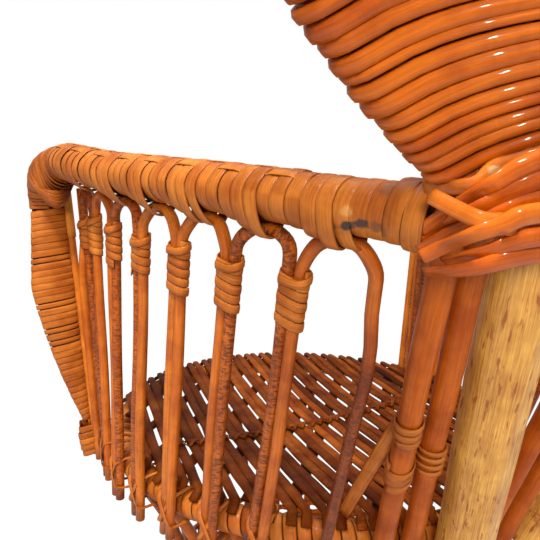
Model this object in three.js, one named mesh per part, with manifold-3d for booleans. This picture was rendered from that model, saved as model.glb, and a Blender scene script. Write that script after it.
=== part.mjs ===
// A wicker fan-back armchair: hourglass base, round woven seat, two arms with
// rows of hoops under a wrapped rail, leaning posts and a tall oval fan.
// Millimetres, +Z up, the sitter looks along -Y and sits on the +Z side of the deck.
import * as THREE from 'three';
import Module from 'manifold-3d';

const wasm = await Module();
wasm.setup();

// Shared fits
const clearance = 0.4;
const rodSides = 6;
const poleSides = 10;
const ringSegments = 32;
const ringSides = 8;

// Seat
const seatRingRadius = 226;
const seatRingPole = 24;
const seatRingHeight = 412;
const deckThickness = 9;
const deckOverhang = 10;
const deckDish = 12;
const deckStrandPitch = 15;
const deckStrandCrown = 6;
const deckGroove = 4;
const deckUnderGroove = 2;
const deckBorder = 6;
const deckRowShares = [-1, -0.87, 0, 0.87, 1];

// Base
const floorRingRadius = 255;
const floorRingPole = 26;
const spokeCount = 20;
const spokeSides = 5;
const spokeDiameter = 10;
const spokeSteps = 3;
const waistRadius = 150;
const waistHeight = 200;
const waistHoopPole = 14;
const waistHoopSink = 2;
const waistBandHeight = 64;
const waistBandThickness = 7;

// Arm rail: a quarter of an upright oval seen from above, rising to the front
const armSpread = 258;
const armReach = 517;
const armCentre = -28;
const armHeight = 681;
const armRise = 63;
const armMidAngle = 70;
const railSetback = 5;
const railFrontAngle = 93;
const railRearWidth = 24;
const railFrontWidth = 38;
const railRearDepth = 24;
const railFrontDepth = 30;
const railFlare = 14;
const railFlareAngle = 78;
const railSteps = 18;
const cornerSteps = 5;

// Cane that is wound on the rail and on the rod pairs
const railLoops = 24;
const railLoopShare = 0.88;
const railCaneThickness = 2;
const railWindLead = 4;
const railWindLag = 1.5;
const railWindGap = 0.8;
const collarLoops = 5;
const collarPitch = 5.7;
const collarCaneWidth = 4.9;
const collarCaneThickness = 1.7;
const collarDrop = 60;
const stepsPerLoop = 8;

// Hoops under the rail
const rodDiameter = 8.4;
const rodTail = 27;
const pairCount = 7;
const pairRailFirst = 56.8;
const pairRailLast = 96.4;
const pairFootFirst = 47.5;
const pairFootLast = 107.5;
const archSteps = 8;

// Front leaf of the arm
const edgeRodFootAngle = 112;
const leafSide = 3.4;
const leafReach = 49;
const leafDrop = 37;
const leafWidth = 36;
const leafDepth = 15;
const leafSwell = 190;
const leafBulge = 0.25;
const leafSteps = 10;
const knobRise = -6;

// Leaning posts between seat ring and fan
const bambooDiameter = 40;
const bambooFootAngle = 12.2;
const bambooTopX = 132;
const strutDiameter = 15;
const outerStrutFootAngle = 25.7;
const outerStrutTopX = 192;
const innerStrutFootAngle = 20.6;
const innerStrutTopX = 171;
const middleStrutFootAngle = 4.2;
const middleStrutTopX = 23;

// Fan
const throatDrop = 13;
const throatBack = 339;
const fanLeanLow = 17;
const fanLeanHigh = 6;
const fanCurl = 53;
const fanHalfWidth = 470;
const fanCentreHeight = 506;
const fanTopRise = 334;
const fanDip = 35;
const fanRimPole = 22;
const fanRimSegments = 44;
const fanRimSides = 8;
const fanPanelThickness = 11;
const fanPanelRadius = 330;
const fanFocusDrop = 20;
const fanRowBow = 600;
const fanRowCount = 18;
const fanRowRelief = 2;
const fanRowMargin = 4;
const fanRibCount = 15;
const fanRibSpread = 52;
const fanRibDiameter = 8;
const fanArcRadii = [480, 640];
const fanRibSides = 4;
const strapHeight = 34;
const strapThickness = 5;
const strapReach = 196;
const strapRise = -14;
const strapSeat = 1.2;

const deg = Math.PI / 180;
const quarterTurn = 90;
const up = new THREE.Vector3(0, 0, 1);
const sideways = new THREE.Vector3(1, 0, 0);
const rodRadius = rodDiameter / 2;
const throatHeight = armHeight - throatDrop;
const fanLowerHalf = fanCentreHeight + fanDip;
const fanHeight = fanCentreHeight + fanTopRise;
const fanFocus = -fanDip - fanFocusDrop;
const seatRingOuter = seatRingRadius + seatRingPole / 2;
const pairHalf = (rodDiameter + clearance) / 2;

function vec(x, y, z) {
  return new THREE.Vector3(x, y, z);
}

function smooth(t) {
  const s = Math.min(1, Math.max(0, t));
  return s * s * (3 - 2 * s);
}

function mix(a, b, t) {
  return a + (b - a) * t;
}

function roundProfile(halfWidth, halfDepth, sides, turn = 0.5) {
  const points = [];
  for (let i = 0; i < sides; i += 1) {
    const angle = 2 * Math.PI * (i + turn) / sides;
    points.push([halfWidth * Math.cos(angle), halfDepth * Math.sin(angle)]);
  }
  return points;
}

// A solid through a row of sections, each with a place, two directions and an outline.
function sweep(sections, closed = false) {
  const positions = [];
  const indices = [];
  const sides = sections[0].profile.length;
  for (const section of sections) {
    for (const [a, b] of section.profile) {
      const p = section.place.clone();
      p.addScaledVector(section.across, a);
      p.addScaledVector(section.out, b);
      positions.push(p.x, p.y, p.z);
    }
  }
  const count = sections.length;
  const last = closed ? count : count - 1;
  for (let i = 0; i < last; i += 1) {
    const here = i * sides;
    const next = ((i + 1) % count) * sides;
    for (let j = 0; j < sides; j += 1) {
      const k = (j + 1) % sides;
      indices.push(here + j, here + k, next + k);
      indices.push(here + j, next + k, next + j);
    }
  }
  if (!closed) {
    const end = (count - 1) * sides;
    for (let j = 1; j < sides - 1; j += 1) {
      indices.push(0, j + 1, j);
      indices.push(end, end + j, end + j + 1);
    }
  }
  return facingOut(positions, indices);
}

// A closed shape whose faces all point out, whichever way its outline ran.
function facingOut(positions, indices) {
  let volume = 0;
  const a = new THREE.Vector3();
  const b = new THREE.Vector3();
  const c = new THREE.Vector3();
  for (let i = 0; i < indices.length; i += 3) {
    a.fromArray(positions, 3 * indices[i]);
    b.fromArray(positions, 3 * indices[i + 1]);
    c.fromArray(positions, 3 * indices[i + 2]);
    volume += a.dot(b.cross(c));
  }
  const order = volume < 0 ? indices.slice().reverse() : indices;
  const geometry = new THREE.BufferGeometry();
  geometry.setAttribute('position', new THREE.Float32BufferAttribute(positions, 3));
  geometry.setIndex(order);
  return geometry;
}

// A round bar along a row of points; its sections turn with the path.
function bar(points, diameter, sides) {
  const sections = [];
  let across = null;
  for (let i = 0; i < points.length; i += 1) {
    const before = points[Math.max(0, i - 1)];
    const after = points[Math.min(points.length - 1, i + 1)];
    const along = after.clone().sub(before).normalize();
    if (across === null) {
      const helper = Math.abs(along.z) < 0.9 ? up : sideways;
      across = helper.clone().cross(along);
    }
    across = across.clone().addScaledVector(along, -across.dot(along)).normalize();
    const out = along.clone().cross(across);
    const profile = roundProfile(diameter / 2, diameter / 2, sides);
    sections.push({ place: points[i], across, out, profile });
  }
  return sweep(sections);
}

// A closed sheet over a grid of places, each with a point on its upper and its lower face.
function sheet(grid) {
  const positions = [];
  const indices = [];
  const columns = grid[0].length;
  for (const row of grid) {
    for (const { high, low } of row) {
      positions.push(high.x, high.y, high.z, low.x, low.y, low.z);
    }
  }
  function at(i, j, face) {
    return 2 * (i * columns + j) + face;
  }
  function quad(a, b, c, d) {
    indices.push(a, b, c, a, c, d);
  }
  const lastRow = grid.length - 1;
  const lastColumn = columns - 1;
  for (let i = 0; i < lastRow; i += 1) {
    for (let j = 0; j < lastColumn; j += 1) {
      quad(at(i, j, 0), at(i + 1, j, 0), at(i + 1, j + 1, 0), at(i, j + 1, 0));
      quad(at(i, j, 1), at(i, j + 1, 1), at(i + 1, j + 1, 1), at(i + 1, j, 1));
    }
    quad(at(i, 0, 0), at(i, 0, 1), at(i + 1, 0, 1), at(i + 1, 0, 0));
    quad(at(i, lastColumn, 0), at(i + 1, lastColumn, 0), at(i + 1, lastColumn, 1), at(i, lastColumn, 1));
  }
  for (let j = 0; j < lastColumn; j += 1) {
    quad(at(0, j, 0), at(0, j + 1, 0), at(0, j + 1, 1), at(0, j, 1));
    quad(at(lastRow, j, 0), at(lastRow, j, 1), at(lastRow, j + 1, 1), at(lastRow, j + 1, 0));
  }
  return facingOut(positions, indices);
}

// Joining and cutting
function toSolid(geometry) {
  return new wasm.Manifold(new wasm.Mesh({
    numProp: 3,
    vertProperties: new Float32Array(geometry.attributes.position.array),
    triVerts: new Uint32Array(geometry.index.array),
  }));
}

function toGeometry(solid) {
  const mesh = solid.getMesh();
  const geometry = new THREE.BufferGeometry();
  geometry.setAttribute('position', new THREE.Float32BufferAttribute(mesh.vertProperties, 3));
  geometry.setIndex(Array.from(mesh.triVerts));
  return geometry;
}

function cut(geometry, tools) {
  let solid = toSolid(geometry);
  for (const tool of tools) {
    solid = solid.subtract(toSolid(tool));
  }
  return toGeometry(solid);
}

function join(geometries) {
  let solid = toSolid(geometries[0]);
  for (const geometry of geometries.slice(1)) {
    solid = solid.add(toSolid(geometry));
  }
  return toGeometry(solid);
}

// A ring turned about the upright axis from an outline of [radius, height] points.
function turned(outline, segments) {
  const sections = [];
  for (let i = 0; i < segments; i += 1) {
    const angle = 2 * Math.PI * i / segments;
    const out = vec(Math.sin(angle), Math.cos(angle), 0);
    sections.push({ place: vec(0, 0, 0), across: out, out: up, profile: outline });
  }
  return sweep(sections, true);
}

function ringOutline(radius, height, pole, sides) {
  const reach = pole / 2 / Math.cos(Math.PI / sides);
  return roundProfile(reach, reach, sides).map(([a, b]) => [radius + a, height + b]);
}

// The least distance between one loop of a winding and the others, on its points.
function leastGap(sections) {
  const half = stepsPerLoop / 2;
  const corners = sections.map((section) => section.profile.map(([a, b]) => {
    const p = section.place.clone().addScaledVector(section.across, a);
    return p.addScaledVector(section.out, b);
  }));
  let least = Infinity;
  for (let i = 0; i < corners.length; i += 1) {
    for (let j = i + half; j < corners.length; j += 1) {
      for (const p of corners[i]) {
        for (const q of corners[j]) {
          least = Math.min(least, p.distanceTo(q));
        }
      }
    }
  }
  return least;
}

// Half-round cane: flat on the inside, highest along its middle.
function caneProfile(width, thickness) {
  return [[-width / 2, 0], [width / 2, 0], [0, thickness]];
}

// Places along the arm
function railPoint(angle) {
  const a = angle * deg;
  const height = armHeight + armRise * (angle - armMidAngle) / quarterTurn;
  return vec(armSpread * Math.sin(a), armCentre + armReach * Math.cos(a), height);
}

function railAlong(angle) {
  const step = 0.01;
  return railPoint(angle + step).sub(railPoint(angle - step)).normalize();
}

function railOut(angle) {
  return railAlong(angle).cross(up).negate().normalize();
}

function bandPoint(angle) {
  const share = (angle - railFlareAngle) / (railFrontAngle - railFlareAngle);
  return railPoint(angle).addScaledVector(railOut(angle), railFlare * smooth(share));
}

function bandAlong(angle) {
  const step = 0.01;
  return bandPoint(angle + step).sub(bandPoint(angle - step)).normalize();
}

function bandOut(angle) {
  return bandAlong(angle).cross(up).negate().normalize();
}

// The rail ends just short of the outer strut's middle and is hollowed to fit it.
function findRailRear() {
  const [foot, top] = postEnds(outerStrutFootAngle, outerStrutTopX, strutDiameter);
  let low = 0;
  let high = railFrontAngle;
  for (let i = 0; i < 40; i += 1) {
    const angle = (low + high) / 2;
    const p = railPoint(angle);
    if (p.y > mix(foot.y, top.y, (p.z - foot.z) / (top.z - foot.z))) {
      low = angle;
    } else {
      high = angle;
    }
  }
  const perDegree = railPoint(low + 1).distanceTo(railPoint(low));
  return low + railSetback / perDegree;
}

const railRearAngle = findRailRear();

function bandShare(angle) {
  return (angle - railRearAngle) / (railFrontAngle - railRearAngle);
}

function bandWidth(angle) {
  return mix(railRearWidth, railFrontWidth, bandShare(angle));
}

function bandDepth(angle) {
  return mix(railRearDepth, railFrontDepth, bandShare(angle));
}

function footPoint(angle, radius) {
  const a = angle * deg;
  return vec(radius * Math.sin(a), radius * Math.cos(a), seatRingHeight);
}

// Where a leaning bar of this radius passes close outside the seat ring.
function footOutside(angle, top, barRadius) {
  const outline = ringOutline(0, 0, seatRingPole, ringSides);
  const radial = footPoint(angle, 1).setZ(0);
  let foot = footPoint(angle, seatRingOuter + barRadius);
  for (let i = 0; i < 4; i += 1) {
    const lean = top.clone().sub(foot);
    const slope = lean.dot(radial) / lean.z;
    const steep = Math.hypot(1, slope);
    const ringReach = Math.max(...outline.map(([a, b]) => (a - slope * b) / steep));
    foot = footPoint(angle, seatRingRadius + (ringReach + barRadius + clearance) * steep);
  }
  return foot;
}

// Each pair of rods stands on the seat ring and points at the rail.
function pairLine(index) {
  const share = index / (pairCount - 1);
  const angle = mix(pairRailFirst, pairRailLast, share);
  const top = railPoint(angle);
  const footAngle = mix(pairFootFirst, pairFootLast, share);
  const slant = Math.abs(railAlong(angle).dot(footPoint(footAngle, 1).setZ(0)));
  const foot = footOutside(footAngle, top, rodRadius + slant * pairHalf);
  const along = top.clone().sub(foot).normalize();
  const row = railAlong(angle);
  row.addScaledVector(along, -row.dot(along)).normalize();
  return { angle, top, foot, along, row };
}

function pointOnLine(line, drop, shift) {
  return line.top.clone().addScaledVector(line.along, -drop).addScaledVector(line.row, shift);
}

function tailDrop(line) {
  return (line.top.z - seatRingHeight + rodTail) / line.along.z;
}

const collarHalf = (collarLoops * collarPitch + collarCaneWidth) / 2 + collarPitch / stepsPerLoop;
const springDrop = collarDrop - collarHalf - clearance;

// How far under the middle of the rail the top of a hoop or rod may come.
function underRail(angle, along) {
  const wound = bandDepth(angle) / 2 + railWindGap + railCaneThickness;
  const face = wound * Math.cos(Math.PI / stepsPerLoop);
  const across = bandAlong(angle).cross(bandOut(angle)).normalize();
  return (face + clearance) / Math.abs(along.dot(across));
}

function hoop(index) {
  const rear = pairLine(index - 1);
  const front = pairLine(index);
  const middle = (rear.angle + front.angle) / 2;
  const along = rear.along.clone().add(front.along).normalize();
  const rearSpring = pointOnLine(rear, springDrop, pairHalf);
  const frontSpring = pointOnLine(front, springDrop, -pairHalf);
  const centre = rearSpring.clone().add(frontSpring).multiplyScalar(0.5);
  const half = rearSpring.clone().sub(frontSpring).multiplyScalar(0.5);
  const crown = railPoint(middle).addScaledVector(along, -underRail(middle, along) - rodRadius);
  const rise = crown.sub(centre);
  const points = [pointOnLine(rear, tailDrop(rear), pairHalf)];
  for (let i = 0; i <= archSteps; i += 1) {
    const angle = Math.PI * i / archSteps;
    const p = centre.clone().addScaledVector(half, Math.cos(angle));
    points.push(p.addScaledVector(rise, Math.sin(angle)));
  }
  points.push(pointOnLine(front, tailDrop(front), -pairHalf));
  return bar(points, rodDiameter, rodSides);
}

// The last pair has one straight rod that ends under the rail.
function frontRod() {
  const line = pairLine(pairCount - 1);
  const drop = underRail(line.angle, line.along) + rodRadius;
  const ends = [pointOnLine(line, tailDrop(line), pairHalf), pointOnLine(line, drop, pairHalf)];
  return bar(ends, rodDiameter, rodSides);
}

// One unbroken strip of cane round two rods that stand side by side.
function collarSections(place, along, row) {
  const across = along.clone();
  const out = along.clone().cross(row);
  const reach = (rodRadius + clearance) / Math.cos(30 * deg);
  const corners = [];
  for (const angle of [-90, -30, 30, 90]) {
    corners.push([pairHalf, angle]);
  }
  for (const angle of [90, 150, 210, 270]) {
    corners.push([-pairHalf, angle]);
  }
  const profile = caneProfile(collarCaneWidth, collarCaneThickness);
  const sections = [];
  const steps = collarLoops * stepsPerLoop + 1;
  for (let i = 0; i <= steps; i += 1) {
    const [shift, angle] = corners[(i + 3) % stepsPerLoop];
    const lift = (i / stepsPerLoop - collarLoops / 2) * collarPitch;
    const away = row.clone().multiplyScalar(Math.cos(angle * deg));
    away.addScaledVector(out, Math.sin(angle * deg));
    const p = place.clone().addScaledVector(row, shift);
    p.addScaledVector(away, reach).addScaledVector(along, lift);
    sections.push({ place: p, across, out: away, profile });
  }
  return sections;
}

function railWindingSections() {
  const sections = [];
  const steps = railLoops * stepsPerLoop;
  const first = railRearAngle + railWindLead;
  const span = railFrontAngle - railWindLag - first;
  for (let i = 0; i <= steps; i += 1) {
    const angle = first + span * i / steps;
    const pitch = bandPoint(angle + span / steps).distanceTo(bandPoint(angle)) * stepsPerLoop;
    const along = bandAlong(angle);
    const out = bandOut(angle);
    const over = along.clone().cross(out).normalize();
    const turn = 2 * Math.PI * (i + 0.5) / stepsPerLoop;
    const p = bandPoint(angle);
    p.addScaledVector(out, (bandWidth(angle) / 2 + railWindGap) * Math.cos(turn));
    p.addScaledVector(over, (bandDepth(angle) / 2 + railWindGap) * Math.sin(turn));
    const away = out.clone().multiplyScalar(Math.cos(turn)).addScaledVector(over, Math.sin(turn));
    const profile = caneProfile(pitch * railLoopShare, railCaneThickness);
    sections.push({ place: p, across: along, out: away, profile });
  }
  console.log(`rail winding: least gap ${leastGap(sections).toFixed(2)} mm`);
  return sections;
}

// The rod along the leaf, kept off the seat ring by the knob's cane.
function edgeRodLine() {
  const top = railPoint(railFrontAngle).add(vec(leafSide, -leafReach, -leafDrop));
  const offset = collarCaneThickness + 2 * clearance;
  const foot = footOutside(edgeRodFootAngle, top, rodRadius + offset);
  const along = top.clone().sub(foot).normalize();
  const row = sideways.clone().addScaledVector(along, -along.x).normalize();
  return { top, foot, along, row };
}

// The leaf stays as thin as a rod inside its knob and swells above it.
function leafTail(line) {
  return (rodTail + knobRise) / line.along.z + collarHalf + clearance;
}

function leafSectionAt(line, distance) {
  const tail = leafTail(line);
  const share = Math.min(1, Math.max(0, (distance - tail) / (leafSwell - tail)));
  const swell = share * (1 + leafBulge * (1 - share));
  const width = mix(rodDiameter, leafWidth, swell);
  const depth = mix(rodDiameter, leafDepth, swell);
  const shift = width / 2 + rodRadius + clearance;
  const place = pointOnLine(line, tailDrop(line) - distance, shift);
  const out = line.along.clone().cross(line.row);
  return { place, across: line.row, out, profile: roundProfile(width / 2, depth / 2, stepsPerLoop) };
}

function leaf() {
  const line = edgeRodLine();
  const tail = leafTail(line);
  const sections = [leafSectionAt(line, 0)];
  for (let i = 0; i <= leafSteps; i += 1) {
    sections.push(leafSectionAt(line, mix(tail, tailDrop(line), i / leafSteps)));
  }
  return sweep(sections);
}

// The rail runs forward, then turns down into the leaf.
function railSections() {
  const sections = [];
  for (let i = 0; i <= railSteps; i += 1) {
    const angle = mix(railRearAngle, railFrontAngle, i / railSteps);
    const out = bandOut(angle);
    const over = bandAlong(angle).cross(out).normalize();
    const profile = roundProfile(bandWidth(angle) / 2, bandDepth(angle) / 2, stepsPerLoop);
    sections.push({ place: bandPoint(angle), across: out, out: over, profile });
  }
  const start = sections[railSteps];
  const line = edgeRodLine();
  const end = leafSectionAt(line, tailDrop(line));
  const finish = end.place.clone().addScaledVector(line.along, clearance);
  const climb = (start.place.z - finish.z) / line.along.z;
  const bend = finish.clone().addScaledVector(line.along, climb);
  const curve = new THREE.QuadraticBezierCurve3(start.place, bend, finish);
  for (let i = 1; i <= cornerSteps; i += 1) {
    const share = i / cornerSteps;
    const along = curve.getTangent(share);
    const across = start.across.clone().lerp(end.across, share);
    across.addScaledVector(along, -across.dot(along)).normalize();
    const over = along.clone().cross(across).normalize();
    const width = mix(railFrontWidth, leafWidth, share);
    const depth = mix(railFrontDepth, leafDepth, share);
    const profile = roundProfile(width / 2, depth / 2, stepsPerLoop);
    sections.push({ place: curve.getPoint(share), across, out: over, profile });
  }
  return sections;
}

// The fan leans back less and less on its way up and curls forward at its sides.
function fanLean(height) {
  return mix(fanLeanLow, fanLeanHigh, height / fanHeight) * deg;
}

function fanPoint(x, height) {
  const bend = (fanLeanLow - fanLeanHigh) * deg / fanHeight;
  const lean = fanLean(height);
  const z = throatHeight + (Math.sin(fanLeanLow * deg) - Math.sin(lean)) / bend;
  const back = throatBack + (Math.cos(lean) - Math.cos(fanLeanLow * deg)) / bend;
  return vec(x, back - fanCurl * (x / fanHalfWidth) ** 2, z);
}

function fanRise(height) {
  const lean = fanLean(height);
  return vec(0, Math.sin(lean), Math.cos(lean));
}

function fanNormal(x, height) {
  const across = vec(1, -2 * fanCurl * x / fanHalfWidth ** 2, 0);
  return across.cross(fanRise(height)).negate().normalize();
}

// The fan's outline is an egg that stands on its narrow end.
function ovalPoint(turn, inset) {
  const x = (fanHalfWidth - inset) * Math.sin(turn);
  const half = Math.cos(turn) > 0 ? fanLowerHalf : fanTopRise;
  const height = fanCentreHeight - (half - inset) * Math.cos(turn);
  return { x, height };
}

function lowerHeightAt(x, inset) {
  const share = x / (fanHalfWidth - inset);
  return fanCentreHeight - (fanLowerHalf - inset) * Math.sqrt(1 - share * share);
}

function rimHeightAt(x) {
  return lowerHeightAt(x, fanRimPole / 2);
}

function fanRim(diameter) {
  const sections = [];
  const profile = roundProfile(diameter / 2, diameter / 2, fanRimSides);
  for (let i = 0; i < fanRimSegments; i += 1) {
    const turn = 2 * Math.PI * i / fanRimSegments;
    const before = ovalPoint(turn - 0.001, fanRimPole / 2);
    const after = ovalPoint(turn + 0.001, fanRimPole / 2);
    const along = fanPoint(after.x, after.height).sub(fanPoint(before.x, before.height)).normalize();
    const here = ovalPoint(turn, fanRimPole / 2);
    const out = fanNormal(here.x, here.height);
    const across = along.clone().cross(out).normalize();
    sections.push({ place: fanPoint(here.x, here.height), across, out, profile });
  }
  return sweep(sections, true);
}

const rimSag = Math.max(fanHalfWidth, fanLowerHalf) * (1 - Math.cos(Math.PI / fanRimSegments));
const fanInset = fanRimPole + clearance + rimSag;

// The way from the fan's focus, at an angle off upright, to the inside of its rim.
function rayToRim(angle) {
  const reach = rayToOval(angle, fanLowerHalf - fanInset);
  const height = fanFocus + reach * Math.cos(angle);
  return height < fanCentreHeight ? reach : rayToOval(angle, fanTopRise - fanInset);
}

function rayToOval(angle, b) {
  const a = fanHalfWidth - fanInset;
  const dx = Math.sin(angle) / a;
  const dz = Math.cos(angle) / b;
  const drop = (fanFocus - fanCentreHeight) / b;
  const square = dx * dx + dz * dz;
  const cross = drop * dz;
  return (-cross + Math.sqrt(cross * cross - square * (drop * drop - 1))) / square;
}

function fanPolar(angle, radius) {
  return fanPoint(radius * Math.sin(angle), fanFocus + radius * Math.cos(angle));
}

// A row of the panel is an arc that rises to the middle of the fan.
function rowHeight(apex, x) {
  return Math.sqrt((fanRowBow + apex) ** 2 - x * x) - fanRowBow;
}

// How far from the middle a row meets the rim, or the arc that borders the panel.
function rowEnd(apex) {
  let low = 0;
  let high = fanPanelRadius;
  for (let i = 0; i < 40; i += 1) {
    const x = (low + high) / 2;
    const height = rowHeight(apex, x);
    const inRim = height > lowerHeightAt(x, fanInset);
    if (inRim && Math.hypot(x, height - fanFocus) < fanPanelRadius) {
      low = x;
    } else {
      high = x;
    }
  }
  return low;
}

// The densely woven part of the fan, its rows shown as ridges.
function fanPanel() {
  const columns = 8;
  const lowest = fanInset - fanDip + fanRowMargin;
  const highest = fanFocus + fanPanelRadius - fanRowMargin;
  const grid = [];
  for (let i = 0; i <= fanRowCount; i += 1) {
    const apex = mix(lowest, highest, i / fanRowCount);
    const end = rowEnd(apex);
    const half = fanPanelThickness / 2 - (i % 2) * fanRowRelief;
    const row = [];
    for (let j = 0; j <= columns; j += 1) {
      const x = mix(-end, end, j / columns);
      const height = rowHeight(apex, x);
      const normal = fanNormal(x, height).multiplyScalar(half);
      const high = fanPoint(x, height).add(normal);
      const low = fanPoint(x, height).sub(normal);
      row.push({ high, low });
    }
    grid.push(row);
  }
  return sheet(grid);
}

// Ribs stand where there is room from the panel to the rim, held by arcs;
// the lowest arc borders the panel.
function fanLattice() {
  const pieces = [];
  const ribSteps = 3;
  const innerRadius = fanPanelRadius + clearance;
  const step = 2 * fanRibSpread / (fanRibCount - 1) * deg;
  const edgeRadius = (innerRadius + fanRibDiameter / 2) / Math.cos(step / 2);
  const angles = [];
  for (let i = 0; i < fanRibCount; i += 1) {
    const angle = -fanRibSpread * deg + i * step;
    if (rayToRim(angle) > edgeRadius + fanRibDiameter) {
      angles.push(angle);
    }
  }
  for (const angle of angles) {
    const reach = rayToRim(angle);
    const points = [];
    for (let j = 0; j <= ribSteps; j += 1) {
      points.push(fanPolar(angle, mix(innerRadius, reach, j / ribSteps)));
    }
    pieces.push(bar(points, fanRibDiameter, fanRibSides));
  }
  for (const radius of [edgeRadius, ...fanArcRadii]) {
    const crossed = angles.filter((angle) => rayToRim(angle) > radius + fanRibDiameter);
    const points = crossed.map((angle) => fanPolar(angle, radius));
    pieces.push(bar(points, fanRibDiameter, fanRibSides));
  }
  return cut(join(pieces), [fanRim(fanRimPole + 2 * clearance)]);
}

// A post from the outside of the seat ring up to the rim of the fan, hollowed to fit it.
function postEnds(footAngle, topX, diameter) {
  const top = fanPoint(topX, rimHeightAt(topX));
  const foot = footOutside(footAngle, top, diameter / 2);
  const along = top.clone().sub(foot).normalize();
  const low = foot.clone().addScaledVector(along, -rodTail / along.z);
  return [low, top];
}

function post(footAngle, topX, diameter) {
  const fit = fanRim(fanRimPole + 2 * clearance);
  return cut(bar(postEnds(footAngle, topX, diameter), diameter, poleSides), [fit]);
}

// The strap that ties the tops of the posts behind the throat.
function throatStrap() {
  const steps = 12;
  const sections = [];
  for (let i = 0; i <= steps; i += 1) {
    const x = mix(-strapReach, strapReach, i / steps);
    const normal = fanNormal(x, strapRise);
    const offset = bambooDiameter / 2 + strapThickness / 2 - strapSeat;
    const place = fanPoint(x, strapRise).addScaledVector(normal, offset);
    const h = strapHeight / 2;
    const t = strapThickness / 2;
    const profile = [[-h, -t], [h, -t], [h, t], [-h, t]];
    sections.push({ place, across: fanRise(strapRise), out: normal, profile });
  }
  const ends = postEnds(bambooFootAngle, bambooTopX, bambooDiameter);
  const past = ends[1].clone().sub(ends[0]).normalize().multiplyScalar(strapHeight);
  const left = [ends[0], ends[1].clone().add(past)];
  const right = left.map((p) => vec(-p.x, p.y, p.z));
  const room = bambooDiameter + 2 * clearance;
  return cut(sweep(sections), [bar(left, room, poleSides), bar(right, room, poleSides)]);
}

// Hourglass base
function spokeBends() {
  const top = seatRingHeight - seatRingPole / 2 - clearance;
  const low = floorRingPole + clearance;
  const bends = [];
  for (let i = -spokeSteps; i <= spokeSteps; i += 1) {
    const share = i / spokeSteps;
    const height = i < 0 ? mix(waistHeight, low, -share) : mix(waistHeight, top, share);
    const end = i < 0 ? floorRingRadius : seatRingRadius;
    bends.push({ height, radius: mix(waistRadius, end, share * share) });
  }
  return bends;
}

function spokeRadius(height) {
  const bends = spokeBends();
  const next = Math.max(1, bends.findIndex((bend) => bend.height >= height));
  const low = bends[next - 1];
  const high = bends[next];
  return mix(low.radius, high.radius, (height - low.height) / (high.height - low.height));
}

function baseSpokes() {
  const pieces = [];
  for (let i = 0; i < spokeCount; i += 1) {
    const angle = 2 * Math.PI * i / spokeCount;
    const across = vec(Math.sin(angle), Math.cos(angle), 0);
    const out = up.clone().cross(across);
    const profile = roundProfile(spokeDiameter / 2, spokeDiameter / 2, spokeSides, 0);
    const sections = [];
    for (const bend of spokeBends()) {
      const place = across.clone().multiplyScalar(bend.radius).setZ(bend.height);
      sections.push({ place, across, out, profile });
    }
    pieces.push(sweep(sections));
  }
  const hoopRadius = waistRadius - spokeDiameter / 2 - waistHoopPole / 2 + waistHoopSink;
  pieces.push(turned(ringOutline(hoopRadius, waistHeight, waistHoopPole, rodSides), spokeCount));
  return join(pieces);
}

function waistBand() {
  const grow = 1 / Math.cos(Math.PI / ringSegments);
  const inner = [];
  const outer = [];
  for (const share of [-0.5, 0, 0.5]) {
    const height = waistHeight + share * waistBandHeight;
    const radius = (spokeRadius(height) + spokeDiameter / 2 + clearance) * grow;
    inner.push([radius, height]);
    outer.push([radius + waistBandThickness, height]);
  }
  return turned(inner.concat(outer.reverse()), ringSegments);
}

function floorRing() {
  return turned(ringOutline(floorRingRadius, floorRingPole / 2, floorRingPole, ringSides), ringSegments);
}

function seatRing() {
  return turned(ringOutline(seatRingRadius, seatRingHeight, seatRingPole, ringSides), ringSegments);
}

// The woven deck lies on the ring and sags a little in the middle.
// Its strands lie side by side and show as ridges that run fore and aft.
function seatDeck() {
  const rest = seatRingHeight + seatRingPole / 2 + clearance;
  const edge = seatRingRadius + deckOverhang;
  const flat = seatRingRadius - seatRingPole / 2 - deckOverhang;
  const strands = Math.floor((seatRingRadius - deckStrandPitch / 2) / deckStrandPitch);
  const border = edge - deckBorder;
  const columns = [{ x: -border, groove: 1 }];
  for (let k = -strands; k <= strands; k += 1) {
    const x = k * deckStrandPitch;
    columns.push({ x: x - deckStrandPitch / 2, groove: 1 });
    columns.push({ x: x - deckStrandCrown / 2, groove: 0 });
    columns.push({ x: x + deckStrandCrown / 2, groove: 0 });
  }
  columns.push({ x: (strands + 0.5) * deckStrandPitch, groove: 1 });
  columns.push({ x: border, groove: 1 });
  const grid = columns.map(({ x, groove }) => deckRowShares.map((share) => {
    const y = share * Math.sqrt(edge * edge - x * x);
    const sag = deckDish * Math.max(0, 1 - (x * x + y * y) / (flat * flat));
    const high = vec(x, y, rest + deckThickness - groove * deckGroove - sag);
    const low = vec(x, y, rest + groove * deckUnderGroove - sag);
    return { high, low };
  }));
  return sheet(grid);
}

// Colours
const looks = {
  rod: { color: 0xc4702c, roughness: 0.38 },
  cane: { color: 0xc87b38, roughness: 0.42 },
  weave: { color: 0xa85c26, roughness: 0.45 },
  bamboo: { color: 0xdca755, roughness: 0.4 },
  pole: { color: 0xc9762f, roughness: 0.35 },
};

const chair = new THREE.Group();

function add(name, look, geometry) {
  const material = new THREE.MeshStandardMaterial({ ...looks[look], metalness: 0 });
  const mesh = new THREE.Mesh(geometry, material);
  mesh.name = name;
  chair.add(mesh);
}

// The same shape on the other side of the chair, its faces turned back out.
function mirrored(geometry) {
  const copy = geometry.clone();
  copy.scale(-1, 1, 1);
  copy.setIndex(Array.from(geometry.index.array).reverse());
  return copy;
}

function addBothSides(name, look, geometry) {
  add(`${name}_left`, look, geometry);
  add(`${name}_right`, look, mirrored(geometry));
}

add('floor_ring', 'pole', floorRing());
add('base_spokes', 'rod', baseSpokes());
add('waist_band', 'weave', waistBand());
add('seat_ring', 'pole', seatRing());
add('seat_deck', 'weave', seatDeck());

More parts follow.
